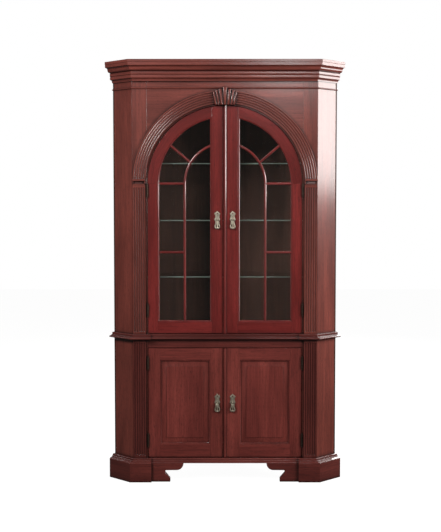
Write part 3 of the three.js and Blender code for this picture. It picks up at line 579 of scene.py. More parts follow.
# ---------------------------------------------------------------- geometry-node trees
def new_tree(name, inputs):
    """A geometry-node tree with a geometry in, the named inputs, and a geometry out."""
    tree = bpy.data.node_groups.new(name, "GeometryNodeTree")
    tree.interface.new_socket("Geometry", in_out="INPUT", socket_type="NodeSocketGeometry")
    for key, kind, value in inputs:
        socket = tree.interface.new_socket(key, in_out="INPUT", socket_type=kind)
        if value is not None:
            socket.default_value = value
    tree.interface.new_socket("Geometry", in_out="OUTPUT", socket_type="NodeSocketGeometry")
    start = tree.nodes.new("NodeGroupInput")
    end = tree.nodes.new("NodeGroupOutput")
    return tree, start, end


def grown(tree, base, values):
    """The plain mesh that a tree makes from a base mesh."""
    carrier = new_object("carrier", base)
    modifier = carrier.modifiers.new("tree", "NODES")
    modifier.node_group = tree
    for item in tree.interface.items_tree:
        if item.item_type == "SOCKET" and item.in_out == "INPUT" and item.name in values:
            modifier[item.identifier] = values[item.name]
    return plain_mesh(carrier)


def plain_mesh(carrier):
    """The mesh that an object comes to, with the object itself taken away."""
    bpy.context.view_layer.update()
    evaluated = carrier.evaluated_get(bpy.context.evaluated_depsgraph_get())
    mesh = bpy.data.meshes.new_from_object(evaluated)
    bpy.data.objects.remove(carrier)
    return mesh


def end_in_plain(nodes, geometry, material, end):
    """Ends a tree in Realize Instances and Set Material."""
    real = node(nodes, "GeometryNodeRealizeInstances", {0: geometry})
    coat = node(nodes, "GeometryNodeSetMaterial", {"Geometry": real.outputs[0], "Material": material})
    link(nodes, coat.outputs[0], end.inputs[0])


def cut_away(nodes, body, cutter):
    meshes = {"Mesh 1": body, "Mesh 2": cutter}
    return node(nodes, "GeometryNodeMeshBoolean", meshes, operation="DIFFERENCE").outputs["Mesh"]


def flute_tree():
    """Cuts a row of round-ended flutes in the front of a pilaster."""
    tree, start, end = new_tree("flutes", [
        ("Cutter", "NodeSocketObject", None),
        ("Count", "NodeSocketInt", FLUTES),
        ("Pitch", "NodeSocketFloat", FLUTE_PITCH * MM),
        ("First", "NodeSocketVector", None),
        ("Wood", "NodeSocketMaterial", None),
    ])
    nodes, given = tree.nodes, start.outputs
    step = node(nodes, "ShaderNodeCombineXYZ", {"X": given["Pitch"]})
    row = node(nodes, "GeometryNodeMeshLine", {
        "Count": given["Count"], "Start Location": given["First"], "Offset": step.outputs[0]})
    cutter = node(nodes, "GeometryNodeObjectInfo", {"Object": given["Cutter"]})
    copies = node(nodes, "GeometryNodeInstanceOnPoints", {
        "Points": row.outputs["Mesh"], "Instance": cutter.outputs["Geometry"]})
    real = node(nodes, "GeometryNodeRealizeInstances", {0: copies.outputs[0]})
    fluted = cut_away(nodes, given["Geometry"], real.outputs[0])
    end_in_plain(nodes, fluted, given["Wood"], end)
    return tree


def screw_tree():
    """Sets a slotted screw head, narrower at its face, on each point, turned as the point says."""
    tree, start, end = new_tree("screws", [
        ("Head Radius", "NodeSocketFloat", 0.0034),
        ("Head Height", "NodeSocketFloat", 0.0012),
        ("Slot Width", "NodeSocketFloat", 0.0009),
        ("Slot Depth", "NodeSocketFloat", 0.0007),
        ("Metal", "NodeSocketMaterial", None),
    ])
    nodes, given = tree.nodes, start.outputs
    face_share, slot_length = 0.86, 0.02  # the slot runs past the rim of any head
    narrow = node(nodes, "ShaderNodeMath", {0: given["Head Radius"], 1: face_share}, operation="MULTIPLY")
    head = node(nodes, "GeometryNodeMeshCone", {
        "Vertices": 20, "Radius Bottom": given["Head Radius"], "Radius Top": narrow.outputs[0],
        "Depth": given["Head Height"]})
    twice = node(nodes, "ShaderNodeMath", {0: given["Slot Depth"], 1: 2}, operation="MULTIPLY")
    slot_size = node(nodes, "ShaderNodeCombineXYZ", {
        "X": slot_length, "Y": given["Slot Width"], "Z": twice.outputs[0]})
    slot = node(nodes, "GeometryNodeMeshCube", {"Size": slot_size.outputs[0]})
    lifted = node(nodes, "ShaderNodeCombineXYZ", {"Z": given["Head Height"]})
    raised = node(nodes, "GeometryNodeTransform", {
        "Geometry": slot.outputs["Mesh"], "Translation": lifted.outputs[0]})
    slotted = cut_away(nodes, head.outputs["Mesh"], raised.outputs[0])
    turn = node(nodes, "GeometryNodeInputNamedAttribute", {"Name": "turn"}, data_type="FLOAT_VECTOR")
    euler = node(nodes, "FunctionNodeEulerToRotation", {0: turn.outputs["Attribute"]})
    copies = node(nodes, "GeometryNodeInstanceOnPoints", {
        "Points": given["Geometry"], "Instance": slotted, "Rotation": euler.outputs[0]})
    end_in_plain(nodes, copies.outputs[0], given["Metal"], end)
    return tree


def point_mesh(points, turns):
    """Loose points in millimetres, each with a turn in radians."""
    mesh = bpy.data.meshes.new("points")
    mesh.from_pydata([in_frame(p) for p in points], [], [])
    turn = mesh.attributes.new("turn", "FLOAT_VECTOR", "POINT")
    turn.data.foreach_set("vector", [v for t in turns for v in t])
    return mesh


# ---------------------------------------------------------------- pilasters and arch
def capsule(radius, z0, z1, rings=6, sides=16):
    """A round-ended rod about the z axis."""
    rows = []
    for end, sign in ((z0 + radius, -1), (z1 - radius, 1)):
        turns = [math.pi / 2 * n / rings for n in range(rings)]
        for turn in (reversed(turns) if sign < 0 else turns):
            rows.append((radius * math.cos(turn), end + sign * radius * math.sin(turn)))
    return turned(0, 0, 0, rows, "z", sides)


def fluted_board(z0, z1, flute0, flute1, tree, hand, finish_name):
    """A pilaster from z0 to z1 with its flutes from flute0 to flute1."""
    x0, x1 = PILASTER
    base = mesh_of(*block(x0, x1, -PILASTER_OUT, 0, z0, z1), hand)
    cutter = new_object("flute_cutter", mesh_of(*capsule(FLUTE_RADIUS, flute0, flute1), place=in_metres))
    middle = hand * (x0 + x1) / 2
    first = middle - FLUTE_PITCH * (FLUTES - 1) / 2
    axis = -PILASTER_OUT - FLUTE_RADIUS + FLUTE_DEPTH
    mesh = grown(tree, base, {
        "Cutter": cutter,
        "Count": FLUTES,
        "Pitch": FLUTE_PITCH * MM,
        "First": (first * MM, axis * MM + FACE, 0.0),
        "Wood": FINISHES[finish_name],
    })
    bpy.data.objects.remove(cutter)
    return mesh


def framed_block(rows, x0, x1):
    """A block that grows and shrinks round three sides as it rises: rows of (out, z)."""
    loops = []
    for out, z in rows:
        y = -PILASTER_OUT - out
        loops.append([(x0 - out, y, z), (x1 + out, y, z), (x1 + out, 0, z), (x0 - out, 0, z)])
    return skin(loops)


def make_pilasters():
    tree = flute_tree()
    head = IMPOST_TOP - IMPOST_HEIGHT
    x0, x1 = PILASTER[0] + ARCH_EDGE, PILASTER[1] - 4
    # (out, z): the lower fillet, the deep cove under it, and the round and flat above
    rows = profile(
        (0.3, head), (0.3, head + 1), ("u", 2.6, head + 3.4), ("v", 0.3, head + 5.8), (-7.5, head + 6.2),
        (-8.5, head + 16.5), ("v", 1.2, head + 19.6), (1.2, head + 20.2), (3, head + 20.2),
        ("u", 4, head + 22), (4, head + 30), ("v", 2.6, IMPOST_TOP), steps=4)
    for name, hand in HANDS.items():
        upper = fluted_board(DECK, head, DECK + 11, head - 12, tree, hand, "case")
        finish(f"upper_pilaster_{name}", upper, "case", [f"pilaster_upper_{name}"], "case", smooth=30)
        lower = fluted_board(FLOOR, WAIST_BOTTOM, FLOOR + 14, WAIST_BOTTOM - 13, tree, hand, "low")
        finish(f"lower_pilaster_{name}", lower, "case", [f"pilaster_lower_{name}"], "low", smooth=30)
        impost = mesh_of(*framed_block(rows, x0, x1), hand)
        finish(f"impost_{name}", impost, "case", [], "case", LEVEL, smooth=30)


def reed_section():
    """Across the arch: plain edges, and flutes with narrow ridges between them."""
    x0, x1 = PILASTER
    eased = 0.6
    section = [(x1, 0), (x0, 0), (x0, -PILASTER_OUT + eased), (x0 + eased, -PILASTER_OUT)]
    first = (x0 + x1) / 2 - FLUTE_PITCH * (FLUTES - 1) / 2
    for n in range(FLUTES):
        middle = first + n * FLUTE_PITCH
        for turn in range(9):
            angle = math.pi * turn / 8
            hollow = FLUTE_DEPTH * math.sin(angle)
            section.append((middle - FLUTE_RADIUS * math.cos(angle), -PILASTER_OUT + hollow))
    return section + [(x1 - eased, -PILASTER_OUT), (x1, -PILASTER_OUT + eased)]


def make_arch():
    """The reeded arch, cut level on its imposts, and the strips beside the imposts."""
    steps = 120
    section = reed_section()
    loops = []
    for n in range(steps + 1):
        angle = math.pi * n / steps
        loops.append([(r * math.cos(angle), y, SPRING + r * math.sin(angle)) for r, y in section])
    mesh = mesh_of(*skin(loops))
    work = bmesh.new()
    work.from_mesh(mesh)
    geometry = work.verts[:] + work.edges[:] + work.faces[:]
    cut = in_frame((0, 0, IMPOST_TOP + AIR))
    made = bmesh.ops.bisect_plane(work, geom=geometry, plane_co=cut, plane_no=(0, 0, -1), clear_outer=True)
    bmesh.ops.holes_fill(work, edges=[e for e in made["geom_cut"] if isinstance(e, bmesh.types.BMEdge)])
    turned_outward(work, mesh)
    finish("reeded_arch", mesh, "case", ["archivolt"], "case", arched_grain(SPRING * MM), smooth=28)
    x0, x1 = PILASTER[0], PILASTER[0] + ARCH_EDGE - AIR
    strip = [(x0, SPRING), (x1, SPRING), (x1, IMPOST_TOP), (x0 - 0.7, IMPOST_TOP)]
    for name, hand in HANDS.items():
        mesh = mesh_of(*panel(strip, -PILASTER_OUT, 0), hand)
        finish(f"arch_foot_{name}", mesh, "case", [], "case", ease=0.5)


def make_keystone():
    """A fan of seven wedges on a ground: each wedge's edges at its top and foot, and its drop."""
    foot = SPRING + OPENING
    crest = span("keystone")[1].z
    wedges = [
        ((0, 11), (0, 4.7), 0),
        ((17.5, 31), (11, 22.5), 10.5),
        ((37, 48), (27, 37), 17),
        ((51.5, 61), (40.5, 50.5), 24.5),
    ]
    (_, head_edge), (_, foot_edge), drop = wedges[-1]
    shoulder = crest - drop - 2
    ground = [(1 - foot_edge, foot), (foot_edge - 1, foot), (head_edge - 1, shoulder),
              (1 - head_edge, shoulder)]
    bodies = [panel(ground, -18, -1)]
    for (t0, t1), (b0, b1), drop in wedges:
        top = crest - drop
        if t0 == 0:
            shapes = [((-b1, b1), (-t1, t1))]
        else:
            shapes = [((b0, b1), (t0, t1)), ((-b1, -b0), (-t1, -t0))]
        for (c0, c1), (d0, d1) in shapes:
            loops = []
            for inset, y in ((0, -10), (0, -22), (1.2, -24.2), (2.6, -25)):
                loops.append([(c0 + inset, y, foot + inset), (c1 - inset, y, foot + inset),
                              (d1 - inset, y, top - inset), (d0 + inset, y, top - inset)])
            bodies.append(skin(loops))
    finish("fanned_keystone", mesh_of(*joined(*bodies)), "case", ["keystone"], "case", smooth=40)


# ---------------------------------------------------------------- mouldings
def moulded(name, section, start, end, node_names, finish_name, grain, hand=1):
    """A length of moulding between two ends; an end gives a point's place in plan from its out."""
    loops = [[(*at(out), z) for out, z in section] for at in (start, end)]
    return finish(name, mesh_of(*skin(loops), hand), "case", node_names, finish_name, grain, smooth=28)


def plan_ends(front_of, more=0):
    """Where a moulding's lengths end in plan: cut across the front, at the near corner, at the wall."""
    def at(x, extra):
        return lambda out: (x, -(front_of(out) + (extra if out > AIR else 0)))

    def near(out):
        return near_corner(front_of(out) + (more if out > AIR else 0), out)

    def far(out):
        return on_return(out, WALL_AIR)

    return at, near, far


def returns_and_front(name, section, front_of, cad, finish_name):
    """A moulding in three mitred lengths."""
    _, near, far = plan_ends(front_of)

    def other_near(out):
        x, y = near(out)
        return -x, y

    moulded(f"{name}_front", section, near, other_near, [cad], finish_name, LEVEL)
    for side, hand in HANDS.items():
        along = straight_grain((hand, 1, 0))
        moulded(f"{name}_return_{side}", section, near, far, [], finish_name, along, hand)


def with_breakfronts(name, section, front_of, more, cad, finish_name):
    """A moulding in five lengths: the returns, the two breakfronts and the length between."""
    at, near, far = plan_ends(front_of, more)
    ends = at(BREAK_START + 1, 0), at(-BREAK_START - 1, 0)
    moulded(f"{name}_front", section, *ends, [cad], finish_name, LEVEL)
    for side, hand in HANDS.items():
        along = straight_grain((hand, 1, 0))
        moulded(f"{name}_block_{side}", section, at(BREAK_START, more), near, [], finish_name, LEVEL, hand)
        moulded(f"{name}_return_{side}", section, near, far, [], finish_name, along, hand)


def make_mouldings():
    grow = Vector((CORNICE["out"] / CORNICE_DRAWN.x, CORNICE["height"] / CORNICE_DRAWN.y))
    foot = TOP - CORNICE["height"]
    # from the frieze up: a cove, a flat, a small cove, a flat, an ogee and the crowning flat
    shape = profile(
        (5.9, 0), ("v", 11.8, 14), (16.7, 14.4), ("u", 18.3, 17), (18.3, 26), ("v", 16.2, 30),
        (18.2, 32.4), ("u", 19.2, 35), (19.2, 43), ("v", 17.4, 46.5), (20.5, 48.6), ("u", 33, 60),
        ("v", 46, 71.6), (47.5, 72.4), (47.5, 86), (49, 87.5), (49, 99.4), (48.4, 100), (AIR, 100), (AIR, 0),
    )
    section = [(out * grow.x if out > AIR else out, foot + z * grow.y) for out, z in shape]
    packing = CORNICE["packing"]
    returns_and_front("cornice", section, lambda out: out + packing if out > AIR else out, "cornice", "case")

    low, high = span("necking_bead")
    middle, half = (low.z + high.z) / 2, (high.z - low.z) / 2
    half_turn = [math.pi * n / 12 - math.pi / 2 for n in range(13)]
    bead = [(AIR + BEAD_OUT * math.cos(a), middle + half * math.sin(a)) for a in half_turn]
    returns_and_front("necking_bead", bead, lambda out: out, "necking_bead", "case")

    shape = profile(
        (8, -30), (10.5, -28.5), ("v", 12.6, -26), (24.5, -25.2), ("u", 30, -21.2), ("v", 25.5, -16.8),
        (18, -15.2), ("v", 12.8, -11), (12.6, -2), ("v", 10.8, 0), (AIR, 0), (AIR, -30), steps=5,
    )
    section = [(out * WAIST["out"] / WAIST["drawn"] if out > AIR else out, DECK + z) for out, z in shape]
    front_of = set_back(WAIST)
    with_breakfronts("waist", section, front_of, WAIST["block"], "waist_moulding", "low")


def set_back(moulding):
    """How far out the front of a moulding stands where its returns stand so far out."""
    return lambda out: out * moulding["front"] / moulding["out"] if out > AIR else out


def make_plinth():
    foot = -PLINTH_CAP
    shape = profile((31, foot), ("v", 27, -18.4), (19, -15), ("v", 14, -9), (13.8, -4), ("v", 7.7, 0),
                    (AIR, 0), (AIR, foot))
    section = [(out * PLINTH["out"] / PLINTH["drawn"] if out > AIR else out, FLOOR + z) for out, z in shape]
    front_of = set_back(PLINTH)
    with_breakfronts("plinth_cap", section, front_of, PLINTH["block"], "plinth", "low")
    board = [(PLINTH["out"], 0), (PLINTH["out"], FLOOR + foot), (AIR, FLOOR + foot), (AIR, 0)]
    more = PLINTH["block"]
    at, near, far = plan_ends(front_of, more)
    for side, hand in HANDS.items():
        along = straight_grain((hand, 1, 0))
        moulded(f"plinth_return_{side}", board, near, far, [], "low", along, hand)
        moulded(f"plinth_block_{side}", board, at(BREAK_START, more), near, [], "low", LEVEL, hand)
    for side, hand in HANDS.items():
        bracket = mesh_of(*panel(bracket_outline(), -PLINTH["front"], -AIR), hand)
        finish(f"bracket_foot_{side}", bracket, "case", [], "low", LEVEL, ease=1.2)


def bracket_outline():
    """The right bracket foot: the apron's rounded end, the nose, the ankle and the upright foot."""
    top = FLOOR - PLINTH_CAP
    outline = [(LOBE_START, top)] + arc(LOBE["radius"], 184, 270, 14, (LOBE["x"], top - LOBE["down"]))
    outline += arc(NOSE["radius"], 90, -40, 8, (NOSE["x"], NOSE["z"]))
    outline += arc(ANKLE["radius"], 138, 180, 3, (ANKLE["x"], ANKLE["z"]))
    return outline + [(FOOT_INNER, 0), (BREAK_START + 1, 0), (BREAK_START + 1, top)]


# ---------------------------------------------------------------- doors
def offset_loop(path, distance):
    """A closed path moved to its outside; the path runs anticlockwise in x and z."""
    moved = []
    for i, (x, z) in enumerate(path):
        before, after = path[i - 1], path[(i + 1) % len(path)]
        a = Vector((x - before[0], z - before[1])).normalized()
        b = Vector((after[0] - x, after[1] - z)).normalized()
        normal = (Vector((a.y, -a.x)) + Vector((b.y, -b.x)))
        if normal.length < 1e-6:
            normal = Vector((a.y, -a.x))
        normal.normalize()
        reach = distance / max(0.3, normal.dot(Vector((a.y, -a.x))))
        moved.append((x + normal.x * reach, z + normal.y * reach))
    return moved


def ring_moulding(path, section):
    """A moulding all round an opening: section points are (out from the opening, y)."""
    rings = [[(x, y, z) for x, z in offset_loop(path, out)] for out, y in section]
    loops = [[ring[i] for ring in rings] for i in range(len(path))]
    return skin(loops, closed=True)


def sight_path():
    """The right-hand door's sight line: straight meeting side and foot, arched head."""
    top = math.degrees(math.acos(SIGHT["inner"] / SIGHT["outer"]))
    straight = [(SIGHT["inner"], SIGHT["foot"]), (SIGHT["outer"], SIGHT["foot"])]
    return straight + arc(SIGHT["outer"], 0, top, 40)


def bar_section():
    """Across a glazing bar: a flat back, hollowed sides and a narrow nose."""
    half = profile((MUNTIN, 14.7), (MUNTIN, 10.5), ("v", 2.6, 3.4), (1.8, 3), steps=4)
    return half + [(-u, y) for u, y in reversed(half)]


def bar(path):
    """A glazing bar along a path of (x, z) points."""
    section = bar_section()
    loops = []
    for i, (x, z) in enumerate(path):
        a, b = path[max(i - 1, 0)], path[min(i + 1, len(path) - 1)]
        along = Vector((b[0] - a[0], b[1] - a[1])).normalized()
        loops.append([(x + along.y * u, y, z - along.x * u) for u, y in section])
    return skin(loops)


def make_glazing_bars(name, hand, body):
    """An upright that curves over to the meeting stile, a brace off its shoulder and two level bars."""
    lap = 2  # a bar's end runs this far under the sticking
    radius = (SIGHT["inner"] + SIGHT["outer"]) / 2
    middle = (SPRING + SIGHT["foot"]) / 2
    reach = SIGHT["outer"] + lap
    top = math.degrees(math.acos((SIGHT["inner"] - lap) / radius))
    upright = [(radius, SIGHT["foot"] - lap), (radius, SPRING)] + arc(radius, 3, top, 24)
    inner, outer = (math.radians(a) for a in BRACE_ANGLES)
    brace = [(radius * math.cos(inner), SPRING + radius * math.sin(inner)),
             (reach * math.cos(outer), SPRING + reach * math.sin(outer))]
    bars = {
        "upright": (upright, UPRIGHT),
        "brace": (brace, LEVEL),
        "level_top": ([(radius, SPRING), (reach, SPRING)], LEVEL),
        "level_low": ([(radius, middle), (reach, middle)], LEVEL),
    }
    for key, (path, grain) in bars.items():
        nodes = [f"glazing_bars_{name}"] if key == "upright" else []
        finish(f"glazing_bar_{key}_{name}", mesh_of(*bar(path), hand), body, nodes, "door", grain, smooth=35)


def make_members(level, name, hand, members, wood):
    """The stiles and rails of a door; the hanging stile stands for the whole frame's CAD piece."""
    for key, (elevation, grain) in members.items():
        nodes = [f"{level}_door_frame_{name}"] if key == "hanging_stile" else []
        mesh = mesh_of(*panel(elevation, DOOR_FACE, DOOR_BACK), hand)
        finish(f"{level}_{key}_{name}", mesh, f"{level}_{name}_door", nodes, wood, grain, ease=0.7)


def make_upper_door(name, hand):
    body = f"upper_{name}_door"
    meeting = MEETING[name]
    wide = SIGHT["outer"] + STICKING
    narrow = SIGHT["inner"] - STICKING
    front, back = GLASS_Y

    def angle(x, radius):
        return math.degrees(math.acos(x / radius))

    arch = arc(DOOR_EDGE, 0, angle(narrow, DOOR_EDGE), 44) + arc(wide, angle(narrow, wide), 0, 44)
    stile_head = arc(DOOR_EDGE, angle(narrow, DOOR_EDGE), angle(meeting, DOOR_EDGE), 10)
    make_members("upper", name, hand, {
        "hanging_stile": (rectangle(wide, DOOR_EDGE, UPPER_FOOT, SPRING), UPRIGHT),
        "arched_rail": (arch, arched_grain(SPRING * MM)),
        "meeting_stile": ([(meeting, UPPER_FOOT), (narrow, UPPER_FOOT)] + stile_head, UPRIGHT),
        "bottom_rail": (rectangle(narrow, wide, UPPER_FOOT, SIGHT["foot"] - STICKING), LEVEL),
    }, "door")
    sticking = profile(
        (0, front - AIR), (0, 7.5), ("v", STICKING - 2.4, 2.6), (STICKING - 2.2, DOOR_FACE + 0.2),
        (STICKING, DOOR_FACE + 0.2), (STICKING, front - AIR), steps=5)
    bead = profile(
        (-0.5, back + AIR), (6.6, back + AIR), (6.6, DOOR_BACK), (3, DOOR_BACK),
        ("u", -0.5, back + 1.4), steps=4)
    for piece, section in (("upper_sticking", sticking), ("glazing_bead", bead)):
        mesh = mesh_of(*ring_moulding(sight_path(), section), hand)
        finish(f"{piece}_{name}", mesh, body, [], "door", UPRIGHT, smooth=40)
    glass = panel(offset_loop(sight_path(), PANE_MARGIN), *GLASS_Y)
    finish(f"pane_{name}", mesh_of(*glass, hand), body, [f"door_glass_{name}"], "glass")
    make_glazing_bars(name, hand, body)


def make_lower_door(name, hand):
    body = f"lower_{name}_door"
    z0, z1 = LOWER_DOOR
    x0, x1 = PANEL["x0"] - STICKING, PANEL["x1"] + STICKING
    p0, p1 = PANEL["z0"] - STICKING, PANEL["z1"] + STICKING
    make_members("lower", name, hand, {
        "hanging_stile": (rectangle(x1, DOOR_EDGE, z0, z1), UPRIGHT),
        "meeting_stile": (rectangle(MEETING[name], x0, z0, z1), UPRIGHT),
        "top_rail": (rectangle(x0, x1, p1, z1), LEVEL),
        "bottom_rail": (rectangle(x0, x1, z0, p0), LEVEL),
    }, "door_low")
    opening = rectangle(PANEL["x0"], PANEL["x1"], PANEL["z0"], PANEL["z1"])
    section = profile(
        (0, 9), (0, 8), ("v", STICKING - 3, 2.8), (STICKING - 2.8, DOOR_FACE + 0.2),
        (STICKING, DOOR_FACE + 0.2), (STICKING, DOOR_BACK), (0, DOOR_BACK), (0, 15), (7.5, 15), (7.5, 9),
        steps=5)
    mesh = mesh_of(*ring_moulding(opening, section), hand)
    finish(f"lower_sticking_{name}", mesh, body, [], "door_low", UPRIGHT, smooth=40)
    loops = [[(x, y, z) for x, z in offset_loop(opening, -inset)] for inset, y in FIELD_ROWS]
    nodes = [f"raised_panel_{name}"]
    finish(f"fielded_panel_{name}", mesh_of(*skin(loops), hand), body, nodes, "door_low", UPRIGHT, ease=0.4)


def make_meeting_beads():
    """The half-round beads that the right-hand doors carry over the joint."""
    half, rim = MEETING_BEAD, -0.4
    half_turn = [math.pi * n / 14 for n in range(15)]
    nose = [(-7.4 * math.cos(a), rim - 6.6 * math.sin(a)) for a in half_turn]
    section = [(-half, 1), (-half, rim)] + nose + [(half, rim), (half, 1)]
    crown = SPRING + math.sqrt(DOOR_EDGE ** 2 - half ** 2)
    for level, z0, z1, wood in (("upper", UPPER_FOOT, crown, "door"), ("lower", *LOWER_DOOR, "door_low")):
        bead = mesh_of(*slab(section, z0, z1))
        finish(f"{level}_meeting_bead", bead, f"{level}_right_door", [], wood, UPRIGHT, smooth=40)


# ---------------------------------------------------------------- hinges
def barrel(radius, z0, z1, eased=0.5):
    rows = [(radius - eased, z0), (radius, z0 + eased), (radius, z1 - eased), (radius - eased, z1)]
    return turned(*PIVOT, 0, rows, "z", 24)


def hinge_half(middle, on_frame):
    """One leaf with its own knuckles; the frame's leaf also has the pin's two finials."""
    foot = middle - HINGE / 2
    leaf_x = OPENING - AIR / 2 - LEAF if on_frame else DOOR_EDGE + AIR / 2
    front = PIVOT[1] + KNUCKLE_RADIUS + LEAF_SET
    tall = HINGE / KNUCKLES
    bodies = [block(leaf_x, leaf_x + LEAF, front, front + LEAF_WIDTH, foot, foot + HINGE)]
    for n in range(KNUCKLES):
        if (n % 2 == 0) != on_frame:
            continue
        z0, z1 = foot + n * tall + KNUCKLE_AIR, foot + (n + 1) * tall - KNUCKLE_AIR
        bodies.append(barrel(KNUCKLE_RADIUS, z0, z1))
        bodies.append(block(leaf_x, leaf_x + LEAF, PIVOT[1], PIVOT[1] + KNUCKLE_RADIUS + 1, z0, z1))
    if on_frame:
        for end, sign in ((foot, -1), (foot + HINGE, 1)):
            bodies.append(turned(*PIVOT, end, [(r, sign * up) for r, up in FINIAL_ROWS], "z", 16))
    return joined(*bodies)


def make_hinges():
    tree = screw_tree()
    doors = ("upper_left_door", "upper_right_door", "lower_left_door", "lower_right_door")
    screws = {body: [] for body in ("case", *doors)}
    case_x, door_x = OPENING - AIR / 2 - 1.3, DOOR_EDGE + AIR / 2 + 1.3
    for place in HINGE_PLACES:
        low, high = span(f"hinge_door_leaf_{place}_right")
        middle = (low.z + high.z) / 2
        level = place.split("_")[0]
        for name, hand in HANDS.items():
            door = f"{level}_{name}_door"
            for leaf, body in (("frame_leaf", "case"), ("door_leaf", door)):
                mesh = mesh_of(*hinge_half(middle, leaf == "frame_leaf"), hand)
                nodes = [f"hinge_{leaf}_{place}_{name}"]
                finish(f"{leaf}_{place}_{name}", mesh, body, nodes, "bronze", ease=0.2)
            for n in (-1, 0, 1):
                z = middle + n * SCREW_PITCH
                y = PIVOT[1] + KNUCKLE_RADIUS + (11 if n else 7)
                screws["case"].append(((hand * case_x, y, z), (n * 0.7, -hand * math.pi / 2, 0)))
                screws[door].append(((hand * door_x, y, z), (n * 0.5 + 0.3, hand * math.pi / 2, 0)))
    for body, placed in screws.items():
        base = point_mesh([p for p, _ in placed], [t for _, t in placed])
        mesh = grown(tree, base, in_bronze(HINGE_SCREW))
        finish(f"hinge_screws_{body}", mesh, body, [], "bronze", smooth=30)


def in_bronze(head_sizes):
    """A screw tree's values from sizes in millimetres."""
    return {**{key: size * MM for key, size in head_sizes.items()}, "Metal": FINISHES["bronze"]}


def make_shelf_pins():
    """Bronze pins under the glass shelves and the wooden one, made as the screws are, finely slotted."""
    tree = screw_tree()
    points, turns = [], []
    wall_x = WALL - SQRT2 * BACK
    for shelf in ("glass_shelf_1", "glass_shelf_2", "glass_shelf_3", "cupboard_shelf"):
        z = span(shelf)[0].z - PIN_DROP
        for hand in (1, -1):
            for off_wall in (30, 60):
                x, y = on_return(-BOARD - PIN_REACH, BACK + off_wall)
                points.append((hand * x, y, z))
                turns.append((0, -math.pi / 2, math.pi / 4 if hand > 0 else -math.pi / 4 + math.pi))
            for share in (0.42, 0.62):
                x = wall_x * share - PIN_REACH / SQRT2
                y = wall_x * (1 - share) - PIN_REACH / SQRT2
                points.append((hand * x, y, z))
                turns.append((0, -math.pi / 2, -math.pi / 4 if hand > 0 else math.pi / 4 + math.pi))
    mesh = grown(tree, point_mesh(points, turns), in_bronze(SHELF_PIN))
    finish("shelf_pins", mesh, "case", [], "bronze", smooth=40)


# ---------------------------------------------------------------- pulls
def flat_casting(outline, holes, y0, y1, round_edge, x, z):
    """A pierced flat casting with rounded edges, drawn in elevation about (x, z)."""
    curve = bpy.data.curves.new("casting", "CURVE")
    curve.dimensions = "2D"
    curve.fill_mode = "BOTH"
    curve.extrude = ((y1 - y0) / 2 - round_edge) * MM
    curve.bevel_depth = round_edge * MM
    curve.bevel_resolution = 2
    curve.offset = -round_edge * MM
    for path in [outline] + holes:
        spline = curve.splines.new("POLY")
        spline.points.add(len(path) - 1)
        for point, (u, v) in zip(spline.points, path):
            point.co = (u * MM, v * MM, 0, 1)
        spline.use_cyclic_u = True
    mesh = plain_mesh(new_object("casting", curve))
    for vertex in mesh.vertices:
        u, v, w = vertex.co
        vertex.co = in_frame((x + u / MM, (y0 + y1) / 2 - w / MM, z + v / MM))
    work = bmesh.new()
    work.from_mesh(mesh)
    bmesh.ops.remove_doubles(work, verts=work.verts, dist=0.00001)
    return turned_outward(work, mesh)


def smooth_half(points, steps=5):
    """A smooth curve through points: Catmull-Rom."""
    made = []
    for i in range(len(points) - 1):
        p0, p1, p2, p3 = points[max(i - 1, 0)], points[i], points[i + 1], points[min(i + 2, len(points) - 1)]
        for n in range(steps):
            t = n / steps
            made.append(tuple(
                0.5 * (2 * b + (c - a) * t
                       + (2 * a - 5 * b + 4 * c - d) * t * t + (3 * b - a - 3 * c + d) * t ** 3)
                for a, b, c, d in zip(p0, p1, p2, p3)))
    made.append(points[-1])
    return made


def both_sides(half):
    return half + [(-u, v) for u, v in reversed(half) if abs(u) > 1e-6]


def oval(cx, cz, rx, rz, steps=20):
    return [(cx + rx * math.cos(a), cz + rz * math.sin(a)) for a in full_turn(steps)]


def make_pulls():
    """A pierced plate on each door, with a hanging drop on its swivel pin."""
    plate_half = smooth_half([
        (0, 45), (4.2, 41), (9, 36.6), (13.6, 32.6), (14.6, 29.6), (12.2, 26.4), (10.4, 22), (10, 16),
        (11.4, 9), (14, 4), (13.6, -1), (10.8, -4.6), (6, -6.4), (2, -8.4), (0, -9)])
    drop_half = smooth_half([
        (0, -2.6), (3.4, -4.6), (7.2, -6.2), (9.4, -9.6), (9.2, -14), (9.6, -19), (11.4, -25),
        (13.4, -31), (13.6, -36.5), (11.6, -41.6), (7.4, -45.2), (3, -46.4), (0, -45)])
    plate_holes = [oval(0, 32.5, 3, 3.2), oval(5.2, -0.4, 1.6, 2.2, 12), oval(-5.2, -0.4, 1.6, 2.2, 12)]
    drop_holes = [oval(5.9, -31, 2.5, 8.4, 16), oval(-5.9, -31, 2.5, 8.4, 16)]
    for level in ("upper", "lower"):
        pin_z = span(f"pull_plate_{level}_right")[1].z - PLATE_CREST
        for name, hand in HANDS.items():
            x = hand * PULL_X
            door, swing = f"{level}_{name}_door", f"{level}_{name}_pull_drop"
            plate = flat_casting(both_sides(plate_half), plate_holes, -1, 1, 0.6, x, pin_z)
            finish(f"plate_{level}_{name}", plate, door, [f"pull_plate_{level}_{name}"], "brass", smooth=50)
            drop = flat_casting(both_sides(drop_half), drop_holes, PIN_Y - 1.4, PIN_Y + 1.4, 0.8, x, pin_z)
            finish(f"drop_{level}_{name}", drop, swing, [f"pull_drop_{level}_{name}"], "brass", smooth=50)
            make_pull_fittings(level, name, x, pin_z, door, swing)


